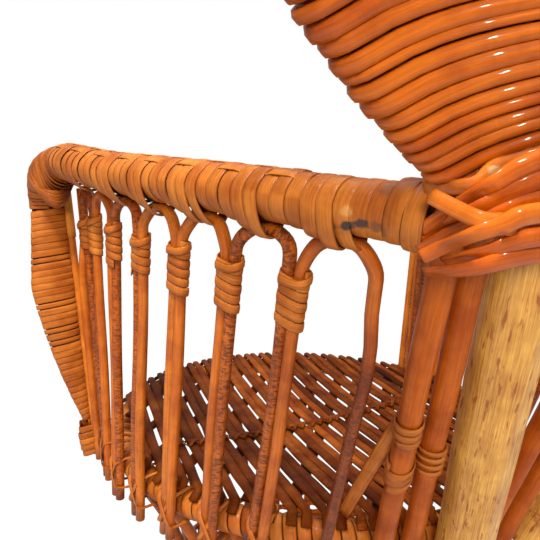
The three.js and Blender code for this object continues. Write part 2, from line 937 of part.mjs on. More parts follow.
const rimFit = fanRim(fanRimPole + 2 * clearance);
const strutLine = postEnds(outerStrutFootAngle, outerStrutTopX, strutDiameter);
const strutFit = bar(strutLine, strutDiameter + 2 * clearance, poleSides);
addBothSides('arm_rail', 'weave', cut(sweep(railSections()), [rimFit, strutFit]));
addBothSides('arm_winding', 'cane', sweep(railWindingSections()));
addBothSides('arm_leaf', 'weave', leaf());
for (let i = 0; i < pairCount; i += 1) {
  addBothSides(`hoop_${i + 1}`, 'rod', hoop(i));
}
addBothSides('front_rod', 'rod', frontRod());
const edgeLine = edgeRodLine();
const edgeEnds = [pointOnLine(edgeLine, tailDrop(edgeLine), 0), pointOnLine(edgeLine, rodRadius, 0)];
addBothSides('edge_rod', 'rod', bar(edgeEnds, rodDiameter, rodSides));
for (let i = 0; i < pairCount; i += 1) {
  const line = pairLine(i);
  const sections = collarSections(pointOnLine(line, collarDrop, 0), line.along, line.row);
  if (i === 0) {
    console.log(`rod collar: least gap ${leastGap(sections).toFixed(2)} mm`);
  }
  addBothSides(`collar_${i + 1}`, 'cane', sweep(sections));
}
const knobDrop = (edgeLine.top.z - seatRingHeight - knobRise) / edgeLine.along.z;
const knobPlace = pointOnLine(edgeLine, knobDrop, pairHalf);
const knobSections = collarSections(knobPlace, edgeLine.along, edgeLine.row);
console.log(`leaf knob: least gap ${leastGap(knobSections).toFixed(2)} mm`);
addBothSides('leaf_knob', 'cane', sweep(knobSections));

addBothSides('bamboo_post', 'bamboo', post(bambooFootAngle, bambooTopX, bambooDiameter));
addBothSides('outer_strut', 'pole', post(outerStrutFootAngle, outerStrutTopX, strutDiameter));
addBothSides('inner_strut', 'pole', post(innerStrutFootAngle, innerStrutTopX, strutDiameter));
addBothSides('middle_strut', 'pole', post(middleStrutFootAngle, middleStrutTopX, strutDiameter));

add('fan_rim', 'pole', fanRim(fanRimPole));
add('fan_panel', 'weave', fanPanel());
add('fan_lattice', 'rod', fanLattice());
add('throat_strap', 'cane', throatStrap());

// The origin lies on the floor, under the middle of the whole chair.
const whole = new THREE.Box3().setFromObject(chair);
chair.position.y = -(whole.min.y + whole.max.y) / 2;
chair.position.z = -whole.min.z;
chair.updateMatrixWorld(true);

export default chair;
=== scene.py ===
import random
from math import asin, atan2, copysign, cos, degrees, exp, floor, hypot, pi, radians, sin, sqrt, tanh

import bmesh
import bpy
from mathutils import Matrix, Vector


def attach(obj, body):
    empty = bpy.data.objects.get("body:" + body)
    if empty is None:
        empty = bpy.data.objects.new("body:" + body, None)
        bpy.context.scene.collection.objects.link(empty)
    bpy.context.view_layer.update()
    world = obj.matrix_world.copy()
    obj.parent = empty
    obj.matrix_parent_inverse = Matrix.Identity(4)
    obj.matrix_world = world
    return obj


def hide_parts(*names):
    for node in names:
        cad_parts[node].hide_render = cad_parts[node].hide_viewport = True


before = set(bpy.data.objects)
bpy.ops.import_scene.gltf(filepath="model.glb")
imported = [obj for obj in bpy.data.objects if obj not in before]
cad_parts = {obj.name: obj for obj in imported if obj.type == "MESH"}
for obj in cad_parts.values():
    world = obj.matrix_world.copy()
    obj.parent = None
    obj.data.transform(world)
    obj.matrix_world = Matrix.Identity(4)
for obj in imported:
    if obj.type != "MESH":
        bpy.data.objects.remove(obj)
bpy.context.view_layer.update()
print("frame loaded,", len(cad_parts), "nodes")

# paths are worked out in millimetres about the seat's middle, then set down in metres
chairShift = 0.1238016
toRow = Matrix.Translation((0, -chairShift, 0)) @ Matrix.Scale(0.001, 4)
upright = Vector((0, 0, 1))
sideways = Vector((1, 0, 0))
scene = bpy.context.scene
luck = random.Random(41)


def mix(a, b, t):
    return a + (b - a) * t


def held(t, most=1.0):
    return min(most, max(0.0, t))


def smooth(t):
    s = held(t)
    return s * s * (3 - 2 * s)


def shares(count):
    # even steps from 0 to 1
    return [i / count for i in range(count + 1)]


def squared(v, along):
    # a direction, turned to stand square to another
    return (v - along * v.dot(along)).normalized()


def given(value, at):
    # a setting is one value, or changes along the strand
    return value(at) if callable(value) else value


def anyPhase():
    return luck.uniform(0, 6.28)


# finishes

def shade(colour):
    # a colour as it looks on screen, 0 to 255, as the shader wants it
    straight = []
    for c in colour:
        c = c / 255
        straight.append(c / 12.92 if c <= 0.04045 else ((c + 0.055) / 1.055) ** 2.4)
    return (*straight, 1)


def grey(v):
    return (v, v, v, 1)


def fill(made, inputs):
    # each input gets a link or a value
    for key, value in inputs.items():
        if isinstance(value, bpy.types.NodeSocket):
            made.id_data.links.new(value, made.inputs[key])
        else:
            made.inputs[key].default_value = value


def node(tree, kind, inputs=None, **settings):
    count = len(tree.nodes)
    made = tree.nodes.new("ShaderNode" + kind)
    made.location = (220 * (count % 8) - 1900, -320 * (count // 8))  # rows of eight
    for key, value in settings.items():
        setattr(made, key, value)
    fill(made, inputs or {})
    return made


def blend(tree, mode, share, low, high):
    return node(tree, "Mix", {0: share, 6: low, 7: high}, data_type="RGBA", blend_type=mode).outputs[2]


def sums(tree, kind, a, b):
    return node(tree, "Math", {0: a, 1: b}, operation=kind).outputs[0]


def speckle(tree, vector, scale, detail=3.0, rough=0.6):
    place = node(tree, "Mapping", {"Vector": vector, "Scale": scale}).outputs[0]
    values = {"Vector": place, "Scale": 1.0, "Detail": detail, "Roughness": rough}
    return node(tree, "TexNoise", values).outputs["Fac"]


def ramp(tree, share, *stops):
    made = node(tree, "ValToRGB", {0: share})
    points = made.color_ramp.elements
    while len(points) < len(stops):
        points.new(1.0)
    for point, (position, colour) in zip(points, stops):
        point.position = position
        point.color = colour
    return made.outputs[0]


def fade(tree, share, first, last, low=0.0, high=1.0):
    return ramp(tree, share, (first, grey(low)), (last, grey(high)))


def wearAndHighlightSpot(tree, place, ragged, centre, size):
    # a mark at one place, as (row place in metres, half size in millimetres), with a ragged edge: mostly wear
    # and stains, and one painted highlight on the rail wraps
    moved = node(tree, "VectorMath", {0: place, 1: centre}, operation="SUBTRACT").outputs[0]
    half = [s / 1000 for s in size]
    sized = node(tree, "VectorMath", {0: moved, 1: half}, operation="DIVIDE").outputs[0]
    far = node(tree, "VectorMath", {0: sized}, operation="LENGTH").outputs["Value"]
    return fade(tree, sums(tree, "ADD", far, ragged), 0.75, 1.0, 1, 0)


plainStrand = {
    "stops": (0.0, 0.4, 0.75, 1.0), "fibre": 0.6, "patch": 0.55, "seam": 0.0, "spots": [],
    "fleck": 0.45, "fleckFrom": 0.70, "fleckScale": (0.5, 0.5, 0.16),
    "rough": (0.34, 0.5), "bump": 0.3, "coat": 0.2, "coatRough": 0.14, "sheen": 0.22,
}


def strandFinish(name, own):
    # lacquered cane or rattan that follows the strand: tone by strand, fibres along it, bark rings across it
    look = {**plainStrand, **own}
    finish = bpy.data.materials.new(name)
    finish.use_nodes = True
    tree = finish.node_tree
    lay = node(tree, "Attribute", attribute_name="lay").outputs["Vector"]
    mark = node(tree, "Attribute", attribute_name="mark").outputs["Vector"]
    tone, bark, edge = node(tree, "SeparateXYZ", {0: mark}).outputs
    place = node(tree, "TexCoord").outputs["Object"]
    barkColour = shade(look["bark"])

    body = ramp(tree, tone, *zip(look["stops"], map(shade, look["tones"])))
    fibre = speckle(tree, lay, (1.1, 1.1, 0.035), 4)
    streaks = ramp(tree, fibre, (0.3, shade((160, 120, 92))), (0.7, shade((255, 252, 246))))
    body = blend(tree, "MULTIPLY", look["fibre"], body, streaks)
    patches = ramp(tree, speckle(tree, place, (38, 38, 38)), (0.36, shade((176, 120, 84))), (0.62, grey(1)))
    body = blend(tree, "MULTIPLY", look["patch"], body, patches)
    ring = speckle(tree, lay, (0.22, 0.22, 0.62), 3, 0.65)
    rings = sums(tree, "MULTIPLY", bark, fade(tree, ring, 0.44, 0.58))
    body = blend(tree, "MIX", rings, body, barkColour)
    fleck = speckle(tree, lay, look["fleckScale"], 2, 0.5)
    flecks = fade(tree, fleck, look["fleckFrom"], look["fleckFrom"] + 0.08, 0, look["fleck"])
    body = blend(tree, "MIX", flecks, body, barkColour)
    # painted shade: by the seam share, the edges of each strip are darkened towards the gap colour, standing
    # in for the shade in the gaps between neighbouring strips
    body = blend(tree, "MIX", fade(tree, edge, 0.82, 1.0, 0, look["seam"]), body, shade(look["gap"]))
    ragged = sums(tree, "MULTIPLY", speckle(tree, place, (420, 420, 420)), 0.7)
    # marks of wear and stains, and on the rail wraps one pale painted highlight
    for centre, size, colour, share in look["spots"]:
        spot = sums(tree, "MULTIPLY", wearAndHighlightSpot(tree, place, ragged, centre, size), share)
        body = blend(tree, "MIX", spot, body, shade(colour))

    gloss = fade(tree, speckle(tree, place, (90, 90, 90)), 0.3, 0.7, *look["rough"])
    height = sums(tree, "ADD", sums(tree, "MULTIPLY", fibre, 0.5), sums(tree, "MULTIPLY", rings, -0.8))
    bump = node(tree, "Bump", {"Strength": look["bump"], "Distance": 0.0006, "Height": height}).outputs[0]
    fill(tree.nodes["Principled BSDF"], {
        "Base Color": body, "Roughness": gloss, "Normal": bump, "Coat Weight": look["coat"],
        "Coat Roughness": look["coatRough"], "Specular IOR Level": look["sheen"],
    })
    return finish


rodLook = {
    "stops": (0.0, 0.35, 0.7, 1.0), "tones": [(142, 64, 12), (196, 98, 22), (216, 120, 32), (234, 154, 54)],
    "bark": (92, 42, 16), "gap": (60, 28, 14), "bump": 0.4,
}
caneLook = {
    "tones": [(148, 72, 20), (204, 118, 42), (220, 136, 54), (236, 160, 76)],
    # the seam share darkens each strip's edges towards the gap colour: painted shade between the wraps
    "bark": (112, 54, 24), "gap": (70, 30, 12), "seam": 0.7, "coat": 0.1, "coatRough": 0.2, "sheen": 0.16,
    "spots": [((0.216, 0.1664, 0.6595), (6.5, 8, 4.4), (56, 48, 44), 0.95),
              ((0.2142, 0.1742, 0.6607), (6.5, 7.5, 4.4), (56, 48, 44), 0.9),
              ((0.2179, 0.1586, 0.659), (4, 4, 3), (92, 66, 46), 0.6),
              # this pale spot is a painted highlight, a gloss dot on the wrap; the other spots are stains
              ((0.2188, 0.1681, 0.6664), (6, 6, 5), (240, 186, 110), 0.32),
              ((0.2109, 0.1811, 0.6594), (5, 5.5, 6), (104, 66, 38), 0.7),
              ((0.209, 0.1844, 0.6584), (5, 4, 9), (112, 68, 34), 0.6),
              ((0.2082, 0.1839, 0.6769), (8, 8, 7), (120, 66, 34), 0.55)],
}
coreLook = {
    "tones": [(72, 32, 5), (120, 58, 10), (152, 78, 18), (182, 102, 34)],
    "bark": (62, 28, 12), "gap": (40, 18, 10), "patch": 0.75, "bump": 0.4, "coat": 0.0, "sheen": 0.05,
}
glossLook = {
    "tones": [(172, 74, 6), (204, 96, 10), (216, 112, 20), (226, 140, 56)],
    "bark": (150, 62, 18), "gap": (70, 28, 10), "fibre": 0.4, "patch": 0.5, "fleck": 0.3,
    "rough": (0.36, 0.5), "bump": 0.2, "coat": 0.5, "coatRough": 0.06, "sheen": 0.12,
    "spots": [((0.19, 0.227, 0.685), (10, 12, 5), (216, 176, 120), 0.7),
              ((0.2, 0.24, 0.66), (5, 10, 3), (168, 62, 20), 0.8),
              ((0.19, 0.235, 0.651), (9, 12, 2.6), (160, 66, 24), 0.6)],
}
poleLook = {
    "tones": [(150, 68, 14), (190, 92, 20), (206, 106, 28), (212, 124, 48)],
    "bark": (140, 62, 20), "gap": (70, 32, 14), "fibre": 0.5, "bump": 0.2, "coat": 0.14, "sheen": 0.1,
    "spots": [((0.1345, 0.155, 0.572), (6, 10, 9), (214, 158, 92), 0.7),
              ((0.139, 0.161, 0.592), (3, 6, 5), (240, 214, 172), 0.8)],
}
bambooLook = {
    "tones": [(222, 160, 70), (240, 180, 84), (246, 192, 98), (250, 204, 120)],
    "bark": (146, 70, 28), "gap": (120, 66, 30), "fibre": 0.75, "patch": 0.4, "fleck": 0.8,
    "fleckFrom": 0.60, "fleckScale": (0.34, 0.34, 0.07), "bump": 0.2, "coat": 0.25,
    "spots": [((0.088, 0.155, 0.5), (7, 12, 16), (250, 236, 200), 0.7)],
}
rodFinish = strandFinish("honeyRod", rodLook)
caneFinish = strandFinish("canePeel", caneLook)
coreFinish = strandFinish("seatCore", coreLook)
glossFinish = strandFinish("fanCore", glossLook)
poleFinish = strandFinish("orangePole", poleLook)
bambooFinish = strandFinish("paleBamboo", bambooLook)
print("finishes made")


# strands

def roundProfile(x, y):
    return x, y


def caneProfile(x, y):
    # flat inside, gently crowned outside, with rounded edges
    return copysign(abs(x) ** 0.62, x), (y if y > 0 else y * 0.6)


def rowProfile(x, y):
    # a strand that its neighbours press broad
    return copysign(abs(x) ** 0.66, x), y


def sweepStrand(piece, frames, sides=8, tone=0.5, bark=0.0, profile=roundProfile, closed=False):
    # a flat grid is rolled up round the path, one row of it for each frame
    strand = bmesh.new()
    lay = strand.verts.layers.float_vector.new("lay")
    mark = strand.verts.layers.float_vector.new("mark")
    offset = luck.uniform(0, 4000)
    last = len(frames) - 1
    runs = [0.0]
    for before, after in zip(frames, frames[1:]):
        runs.append(runs[-1] + (after[0] - before[0]).length)
    step = frames[1][0] - frames[0][0]
    way = 1 if frames[0][1].dot(frames[0][2].cross(step)) > 0 else -1
    section = []
    for j in range(sides):
        a = way * 2 * pi * j / sides
        section.append(profile(cos(a), sin(a)))
    grid = bmesh.ops.create_grid(strand, x_segments=sides, y_segments=last, size=0.5)["verts"]
    seam = []
    for v in grid:
        j = round((v.co.x + 0.5) * sides)
        i = round((v.co.y + 0.5) * last)
        if j in (0, sides) or (closed and i in (0, last)):
            seam.append(v)
        place, across, out, halfWidth, halfThick = frames[i]
        a, b = section[j % sides]
        v.co = place + across * (a * halfWidth) + out * (b * halfThick)
        length = abs(runs[-1] / 2 - runs[i]) if closed else runs[i]
        v[lay] = (a * halfWidth + offset, b * halfThick, length + offset)
        v[mark] = (given(tone, i), given(bark, i), abs(a))
    bmesh.ops.remove_doubles(strand, verts=seam, dist=0.001)
    if not closed:
        bmesh.ops.holes_fill(strand, edges=[e for e in strand.edges if e.is_boundary], sides=0)
    spare = bpy.data.meshes.new("spare")
    strand.to_mesh(spare)
    strand.free()
    piece.from_mesh(spare)
    bpy.data.meshes.remove(spare)


def heading(points, i, closed):
    last = len(points) - 1
    before = points[(i - 1) % last] if closed else points[max(0, i - 1)]
    after = points[(i + 1) % last] if closed else points[min(last, i + 1)]
    return (after - before).normalized()


def roundRod(piece, points, radius, sides, tone, bark=0.0, closed=False):
    frames = []
    out = None
    for i, p in enumerate(points):
        along = heading(points, i, closed)
        if out is None:
            out = upright if abs(along.z) < 0.9 else sideways
        out = squared(out, along)
        r = given(radius, i / (len(points) - 1))
        frames.append((p, out.cross(along), out, r, r))
    if closed:
        frames[-1] = frames[0]
    sweepStrand(piece, frames, sides, tone, bark, closed=closed)


def flatFrames(points, outs, halfWidth, halfThick, closed=False):
    # a strand that keeps its flat side down on what it lies on
    frames = []
    for i, (p, out) in enumerate(zip(points, outs)):
        along = heading(points, i, closed)
        level = squared(out, along)
        frames.append((p, level.cross(along), level, halfWidth, halfThick))
    if closed:
        frames[-1] = frames[0]
    return frames


def flatCane(piece, points, outs, halfWidth, halfThick, sides, tone, closed=False):
    frames = flatFrames(points, outs, halfWidth, halfThick, closed)
    sweepStrand(piece, frames, sides, tone, 0, caneProfile, closed)


def windCane(piece, frameAt, outlineAt, loops, steps, width, thick, spread, tone, start=0.0, sides=8,
             hand=1, tapered=False):
    # one unbroken strip round a section that changes on its way, each loop a little lighter or darker
    frames = []
    count = int(loops * steps)
    for i in range(count + 1):
        share = i / count
        turn = start + hand * 2 * pi * i / steps
        place, along, out, over = frameAt(share)
        a, b, normalA, normalB, lift, slide = outlineAt(share, turn, i / steps)
        away = (out * normalA + over * normalB).normalized()
        tilt = along
        if tapered and share < 0.99:
            # the strip lies against the slope of the section
            ahead = frameAt(share + 0.01)
            aheadA, aheadB = outlineAt(share + 0.01, turn, i / steps)[:2]
            tilt = ahead[0] + ahead[2] * aheadA + ahead[3] * aheadB - place - out * a - over * b
            tilt.normalize()
            away = squared(away, tilt)
        p = place + out * a + over * b + along * slide + away * (lift + thick / 2)
        frames.append((p, tilt, away, given(width, share) / 2, thick / 2))
    loopTones = {}

    def toneAt(i):
        loop = int(i / steps + 0.25)
        if loop not in loopTones:
            loopTones[loop] = held(luck.gauss(tone, spread))
        return loopTones[loop]
    sweepStrand(piece, frames, sides, toneAt, 0, caneProfile)


def easyCurve(points, steps):
    # a smooth curve through a few places
    places = [points[0]] + points + [points[-1]]
    curve = []
    for a, b, c, d in zip(places, places[1:], places[2:], places[3:]):
        for i in range(steps):
            t = i / steps
            curve.append((b * 2 + (c - a) * t + (a * 2 - b * 5 + c * 4 - d) * t ** 2
                          + (b * 3 - a - c * 3 + d) * t ** 3) / 2)
    return curve + [points[-1]]


def setDown(name, piece, finish, nodes):
    mesh = bpy.data.meshes.new(name)
    piece.to_mesh(mesh)
    piece.free()
    for face in mesh.polygons:
        face.use_smooth = True
    mesh.materials.append(finish)
    made = bpy.data.objects.new(name, mesh)
    scene.collection.objects.link(made)
    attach(made, "root")
    if nodes:
        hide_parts(*nodes)
    return made


def finishPiece(name, piece, finish, slot, *nodes):
    bmesh.ops.transform(piece, matrix=toRow, verts=piece.verts)
    return setDown(name, piece, finish, nodes)


def finishPair(name, piece, finish, slot, *nodes):
    # a piece on the left, and its mirror image on the right
    made = finishPiece(name + "Left", piece, finish, slot, *[n + "_left" for n in nodes])
    turned = bmesh.new()
    turned.from_mesh(made.data)
    bmesh.ops.transform(turned, matrix=Matrix.Scale(-1, 4, sideways), verts=turned.verts)
    bmesh.ops.reverse_faces(turned, faces=turned.faces)
    setDown(name + "Right", turned, finish, [n + "_right" for n in nodes])


# places on the arm, the same as in the solid model

arm = {"spread": 258, "reach": 517, "centre": -28, "height": 681, "rise": 0.7, "mid": 70, "front": 93,
       "rear": 48.2, "flare": 14, "flareAngle": 78, "rearWidth": 24, "frontWidth": 38, "rearDepth": 24,
       "frontDepth": 30, "rod": 8.4, "gap": 0.4, "tail": 27, "railFirst": 56.8, "railLast": 96.4,
       "footFirst": 47.5, "footLast": 107.5, "pairs": 7}
seat = {"radius": 226, "pole": 24, "height": 412}
rodHalf = arm["rod"] / 2
pairHalf = (arm["rod"] + arm["gap"]) / 2


def numbered(kind):
    return ["%s_%d" % (kind, i + 1) for i in range(arm["pairs"])]


def railPoint(angle):
    a = radians(angle)
    return Vector((arm["spread"] * sin(a), arm["centre"] + arm["reach"] * cos(a),
                   arm["height"] + arm["rise"] * (angle - arm["mid"])))


def railAlong(angle):
    return (railPoint(angle + 0.01) - railPoint(angle - 0.01)).normalized()


def bandPoint(angle):
    out = -railAlong(angle).cross(upright).normalized()
    share = (angle - arm["flareAngle"]) / (arm["front"] - arm["flareAngle"])
    return railPoint(angle) + out * arm["flare"] * smooth(share)


def bandFrame(angle):
    along = (bandPoint(angle + 0.01) - bandPoint(angle - 0.01)).normalized()
    out = -along.cross(upright).normalized()
    return bandPoint(angle), along, out, along.cross(out).normalized()


def ringPoint(a, radius, height):
    return Vector((radius * sin(a), radius * cos(a), height))


def footPoint(angle, radius, height=seat["height"]):
    return ringPoint(radians(angle), radius, height)


def footOutside(angle, top, barRadius):
    radial = footPoint(angle, 1, 0)
    foot = footPoint(angle, seat["radius"] + seat["pole"] / 2 + barRadius)
    for i in range(4):
        lean = top - foot
        steep = hypot(1, lean.dot(radial) / lean.z)
        foot = footPoint(angle, seat["radius"] + (seat["pole"] / 2 * 1.05 + barRadius + arm["gap"]) * steep)
    return foot


def pairLine(index):
    share = index / (arm["pairs"] - 1)
    angle = mix(arm["railFirst"], arm["railLast"], share)
    top = railPoint(angle)
    footAngle = mix(arm["footFirst"], arm["footLast"], share)
    slant = abs(railAlong(angle).dot(footPoint(footAngle, 1, 0)))
    foot = footOutside(footAngle, top, rodHalf + slant * pairHalf)
    along = (top - foot).normalized()
    return angle, top, along, squared(railAlong(angle), along)


def onLine(line, drop, shift=0.0):
    return line[1] - line[2] * drop + line[3] * shift


def tailDrop(line):
    return (line[1].z - seat["height"] + arm["tail"]) / line[2].z


# camera

camera = bpy.data.objects.new("photoCamera", bpy.data.cameras.new("photoCamera"))
scene.collection.objects.link(camera)
camera.data.sensor_width = 36
camera.data.lens = 35.58
camera.data.clip_start = 0.01
right = Vector((-0.8443, 0.5344, 0.0398))
above = Vector((-0.0299, -0.1212, 0.9922))
stand = Matrix((right, above, right.cross(above))).transposed().to_4x4()
stand.translation = (0.3871, 0.3660, 0.6673)
camera.matrix_world = stand
scene.camera = camera

# arm hoops

hoopSettings = {"arch": 22, "leg": 12, "sides": 12, "wobble": 0.5, "spring": 41, "underWrap": 2.8,
                "knuckle": 587, "rearSpring": 3, "rearBow": 8.5, "rearBowLength": 70,
                "frontLean": 6.5, "frontLeanFrom": 58, "frontLeanLength": 62,
                "bark": [0.0, 0.9, 0.0, 0.15, 0.75, 0.0, 0.95],
                "tone": [0.5, 0.45, 0.55, 0.72, 0.42, 0.55, 0.3]}


def underRail(angle, along):
    share = (angle - arm["rear"]) / (arm["front"] - arm["rear"])
    depth = mix(arm["rearDepth"], arm["frontDepth"], share)
    wound = (depth / 2 + hoopSettings["underWrap"]) * cos(pi / 8)
    return (wound + arm["gap"]) / abs(along.dot(bandFrame(angle)[3]))


def hoopPath(index):
    rear, front = pairLine(index - 1), pairLine(index)
    middle = (rear[0] + front[0]) / 2
    along = (rear[2] + front[2]).normalized()
    spring = hoopSettings["spring"]
    rearFoot = onLine(rear, tailDrop(rear))
    back = upright.cross(Vector((rearFoot.x, rearFoot.y, 0))).normalized()

    def rearLeg(drop):
        # the rearmost leg bows out to the back
        share = smooth((drop - spring) / hoopSettings["rearBowLength"])
        bow = hoopSettings["rearSpring"] + hoopSettings["rearBow"] * share
        return onLine(rear, drop, pairHalf) + back * (bow if index == 0 else 0)

    rearSpring, frontSpring = rearLeg(spring), onLine(front, spring, -pairHalf)
    centre, half = (rearSpring + frontSpring) / 2, (rearSpring - frontSpring) / 2
    rise = railPoint(middle) - along * (underRail(middle, along) + rodHalf) - centre
    points = []
    for t in shares(hoopSettings["leg"])[:-1]:
        points.append(rearLeg(mix(tailDrop(rear), spring, t)))
    for t in shares(hoopSettings["arch"]):
        points.append(centre + half * cos(pi * t) + rise * sin(pi * t))
    for t in shares(hoopSettings["leg"])[1:]:
        points.append(onLine(front, mix(spring, tailDrop(front), t), -pairHalf))
    return points


def wobbled(points, amount):
    first, second = anyPhase(), anyPhase()
    moved = []
    for i, p in enumerate(points):
        moved.append(p + Vector((sin(i * 0.7 + first), sin(i * 0.6 + second), 0)) * amount)
    return moved


hoops = bmesh.new()
for index in range(arm["pairs"]):
    path = wobbled(hoopPath(index), hoopSettings["wobble"])
    ringed, tone = hoopSettings["bark"][index], hoopSettings["tone"][index]
    if index == 0:
        # the rearmost leg keeps its dark bark below a knuckle
        inBark = [p.z < hoopSettings["knuckle"] and i < hoopSettings["leg"] for i, p in enumerate(path)]
        ringed = lambda i: 0.95 if inBark[i] else 0.05
        tone = lambda i: 0.12 if inBark[i] else 0.5
    roundRod(hoops, path, lambda t: rodHalf * (1 + 0.03 * sin(t * 23)), hoopSettings["sides"], tone, ringed)
lastPair = pairLine(arm["pairs"] - 1)
topDrop = underRail(lastPair[0], lastPair[2]) + rodHalf
path = []
for t in shares(16):
    drop = mix(tailDrop(lastPair), topDrop, t)
    lean = smooth((drop - hoopSettings["frontLeanFrom"]) / hoopSettings["frontLeanLength"])
    path.append(onLine(lastPair, drop, pairHalf) + sideways * hoopSettings["frontLean"] * lean)
roundRod(hoops, path, rodHalf, hoopSettings["sides"], 0.6, 0.1)
finishPair("armHoops", hoops, rodFinish, "rattan_rod", *numbered("hoop"), "front_rod")
print("arm hoops")

# collars that bind the rod pairs, and lashings that hold the pairs to the seat ring

collarSettings = {"pitch": 6.8, "width": 7.0, "thick": 1.5, "steps": 24, "spread": 0.1, "tone": 0.54,
                  "turns": [5.7, 5.4, 5.3, 4.5, 5.1, 4.9, 4.3],
                  "drop": [62, 61.5, 59.6, 60.5, 59.7, 60.5, 68],
                  "strip": 3.0, "stripThick": 0.95, "stripTurn": (3.9, 0.6), "stripRun": (0.5, 8.0),
                  "lash": 2.2, "lashThick": 0.7, "lashRound": 14.5, "lashCross": 8}


def collarOutline(reach, half):
    def outline(share, turn, loop):
        c, s = cos(turn), sin(turn)
        return half * tanh(4 * c) + reach * c, reach * s, c, s, 0.2 * sin(loop * 2.7), 0
    return outline


collars = bmesh.new()
for index in range(arm["pairs"]):
    line = pairLine(index)
    row = line[3]
    face = line[2].cross(row)
    turns = collarSettings["turns"][index] + luck.choice((-0.1, 0, 0.1))
    drop = collarSettings["drop"][index]
    length = turns * collarSettings["pitch"]
    tilt = luck.uniform(-0.12, 0.12)
    outline = collarOutline(rodHalf + 0.2, pairHalf)

    def collarFrame(share):
        place = onLine(line, drop + length * (share - 0.5))
        return place, (line[2] + row * tilt).normalized(), row, face
    windCane(collars, collarFrame, outline, turns, collarSettings["steps"], collarSettings["width"],
             collarSettings["thick"], collarSettings["spread"], collarSettings["tone"],
             start=luck.uniform(2, 4))
    # the end of the strip is drawn slantwise over the top turn and tucked in
    points, outs = [], []
    for t in shares(16):
        a, b, normalA, normalB = outline(0, mix(*collarSettings["stripTurn"], t), 0)[:4]
        away = (row * normalA + face * normalB).normalized()
        at = drop - length / 2 + mix(*collarSettings["stripRun"], t)
        lift = 0.3 + 2.0 * sin(pi * t) ** 0.4
        points.append(onLine(line, at) + row * a + face * b + away * lift)
        outs.append(away)
    flatCane(collars, points, outs, collarSettings["strip"], collarSettings["stripThick"], 8, 0.45)
    # two loops cross over the feet of the pair and go round the ring
    foot = onLine(line, (line[1].z - seat["height"]) / line[2].z)
    outward = Vector((foot.x, foot.y, 0)).normalized()
    aside = outward.cross(upright)
    inner, outer = seat["radius"] - collarSettings["lashRound"], hypot(foot.x, foot.y) + 5.6
    for way in (-1, 1):
        points, outs = [], []
        for t in shares(28):
            c, s = cos(2 * pi * t), sin(2 * pi * t)
            reach = mix(inner, outer, 0.5 + 0.5 * tanh(2.4 * c) / tanh(2.4)) + way * 0.5
            p = outward * reach + aside * (way * collarSettings["lashCross"] * s)
            points.append(p + upright * (seat["height"] + collarSettings["lashRound"] * s))
            outs.append((outward * c + upright * s).normalized())
        flatCane(collars, points, outs, collarSettings["lash"], collarSettings["lashThick"], 6, 0.35, True)
finishPair("rodCollars", collars, caneFinish, "cane_peel", *numbered("collar"))
print("rod collars")

# arm rail: a core of poles, wound with flat cane, with strips woven along its top

railSettings = {"loops": 38, "steps": 40, "length": 385, "thick": 2.0, "tone": 0.5, "spread": 0.09,
                "droop": 10.0, "droopSpan": (-0.6, -0.1, 4.2), "sweep": 0.9, "frontLift": 4.5, "bulge": 3.2,
                "stripWidth": 8.5, "stripThick": 0.8, "stripTurns": [60, 90, 122], "stripFrom": 0.19}
pairStep = (arm["railLast"] - arm["railFirst"]) / (arm["pairs"] - 1)
crownAngles = [arm["railFirst"] + pairStep * (i - 0.5) for i in range(arm["pairs"] - 1)]


def crownDroop(angle):
    # the wraps that take in a hoop's crown hang lower, most at the rear of the crown
    start, full, end = railSettings["droopSpan"]
    most = 0.0
    for crown in crownAngles:
        ahead = angle - crown
        most = max(most, smooth((ahead - start) / (full - start)) * smooth((end - ahead) / (end - full)))
    return railSettings["droop"] * most * (1 - 0.6 * smooth((angle - 76) / 12))


def railAngle(share):
    return mix(arm["rear"] - 1.0, arm["front"], share)


def railFrame(share):
    place, along, out, over = bandFrame(railAngle(share))
    return place + upright * railSettings["frontLift"] * smooth((share - 0.72) / 0.28), along, out, over


def railHalves(share):
    wide = mix(arm["rearWidth"], arm["frontWidth"], share) / 2 + 0.5
    deep = mix(arm["rearDepth"], arm["frontDepth"], share) / 2 + 0.5
    return wide, deep


def stripCrossing(strip):
    # the part of a loop that is wound when it meets the strip
    return (270 - railSettings["stripTurns"][strip]) / 360


def stripShows(strip, wrap):
    # each lengthwise strip runs over two wraps and under the next two
    return (floor(wrap / 2) + strip) % 2 == 0


def railOutline(share, turn, loop):
    wide, deep = railHalves(share)
    c, s = cos(turn), sin(turn)
    hang = crownDroop(railAngle(share)) * max(0.0, -s)
    lift = 0.25 * sin(loop * 2.4) + railSettings["bulge"] * exp(-((loop - 1.2) / 0.8) ** 2)
    for strip, at in enumerate(railSettings["stripTurns"]):
        away = abs((turn - radians(at) + pi) % (2 * pi) - pi)
        wrap = round(loop - stripCrossing(strip))
        if share > railSettings["stripFrom"] and not stripShows(strip, wrap):
            lift += 0.7 * smooth(1.6 - away / 0.22)
    slide = -mix(0.3, railSettings["sweep"], share) * hang
    return wide * c, deep * s - hang, c / wide, s / deep, lift, slide


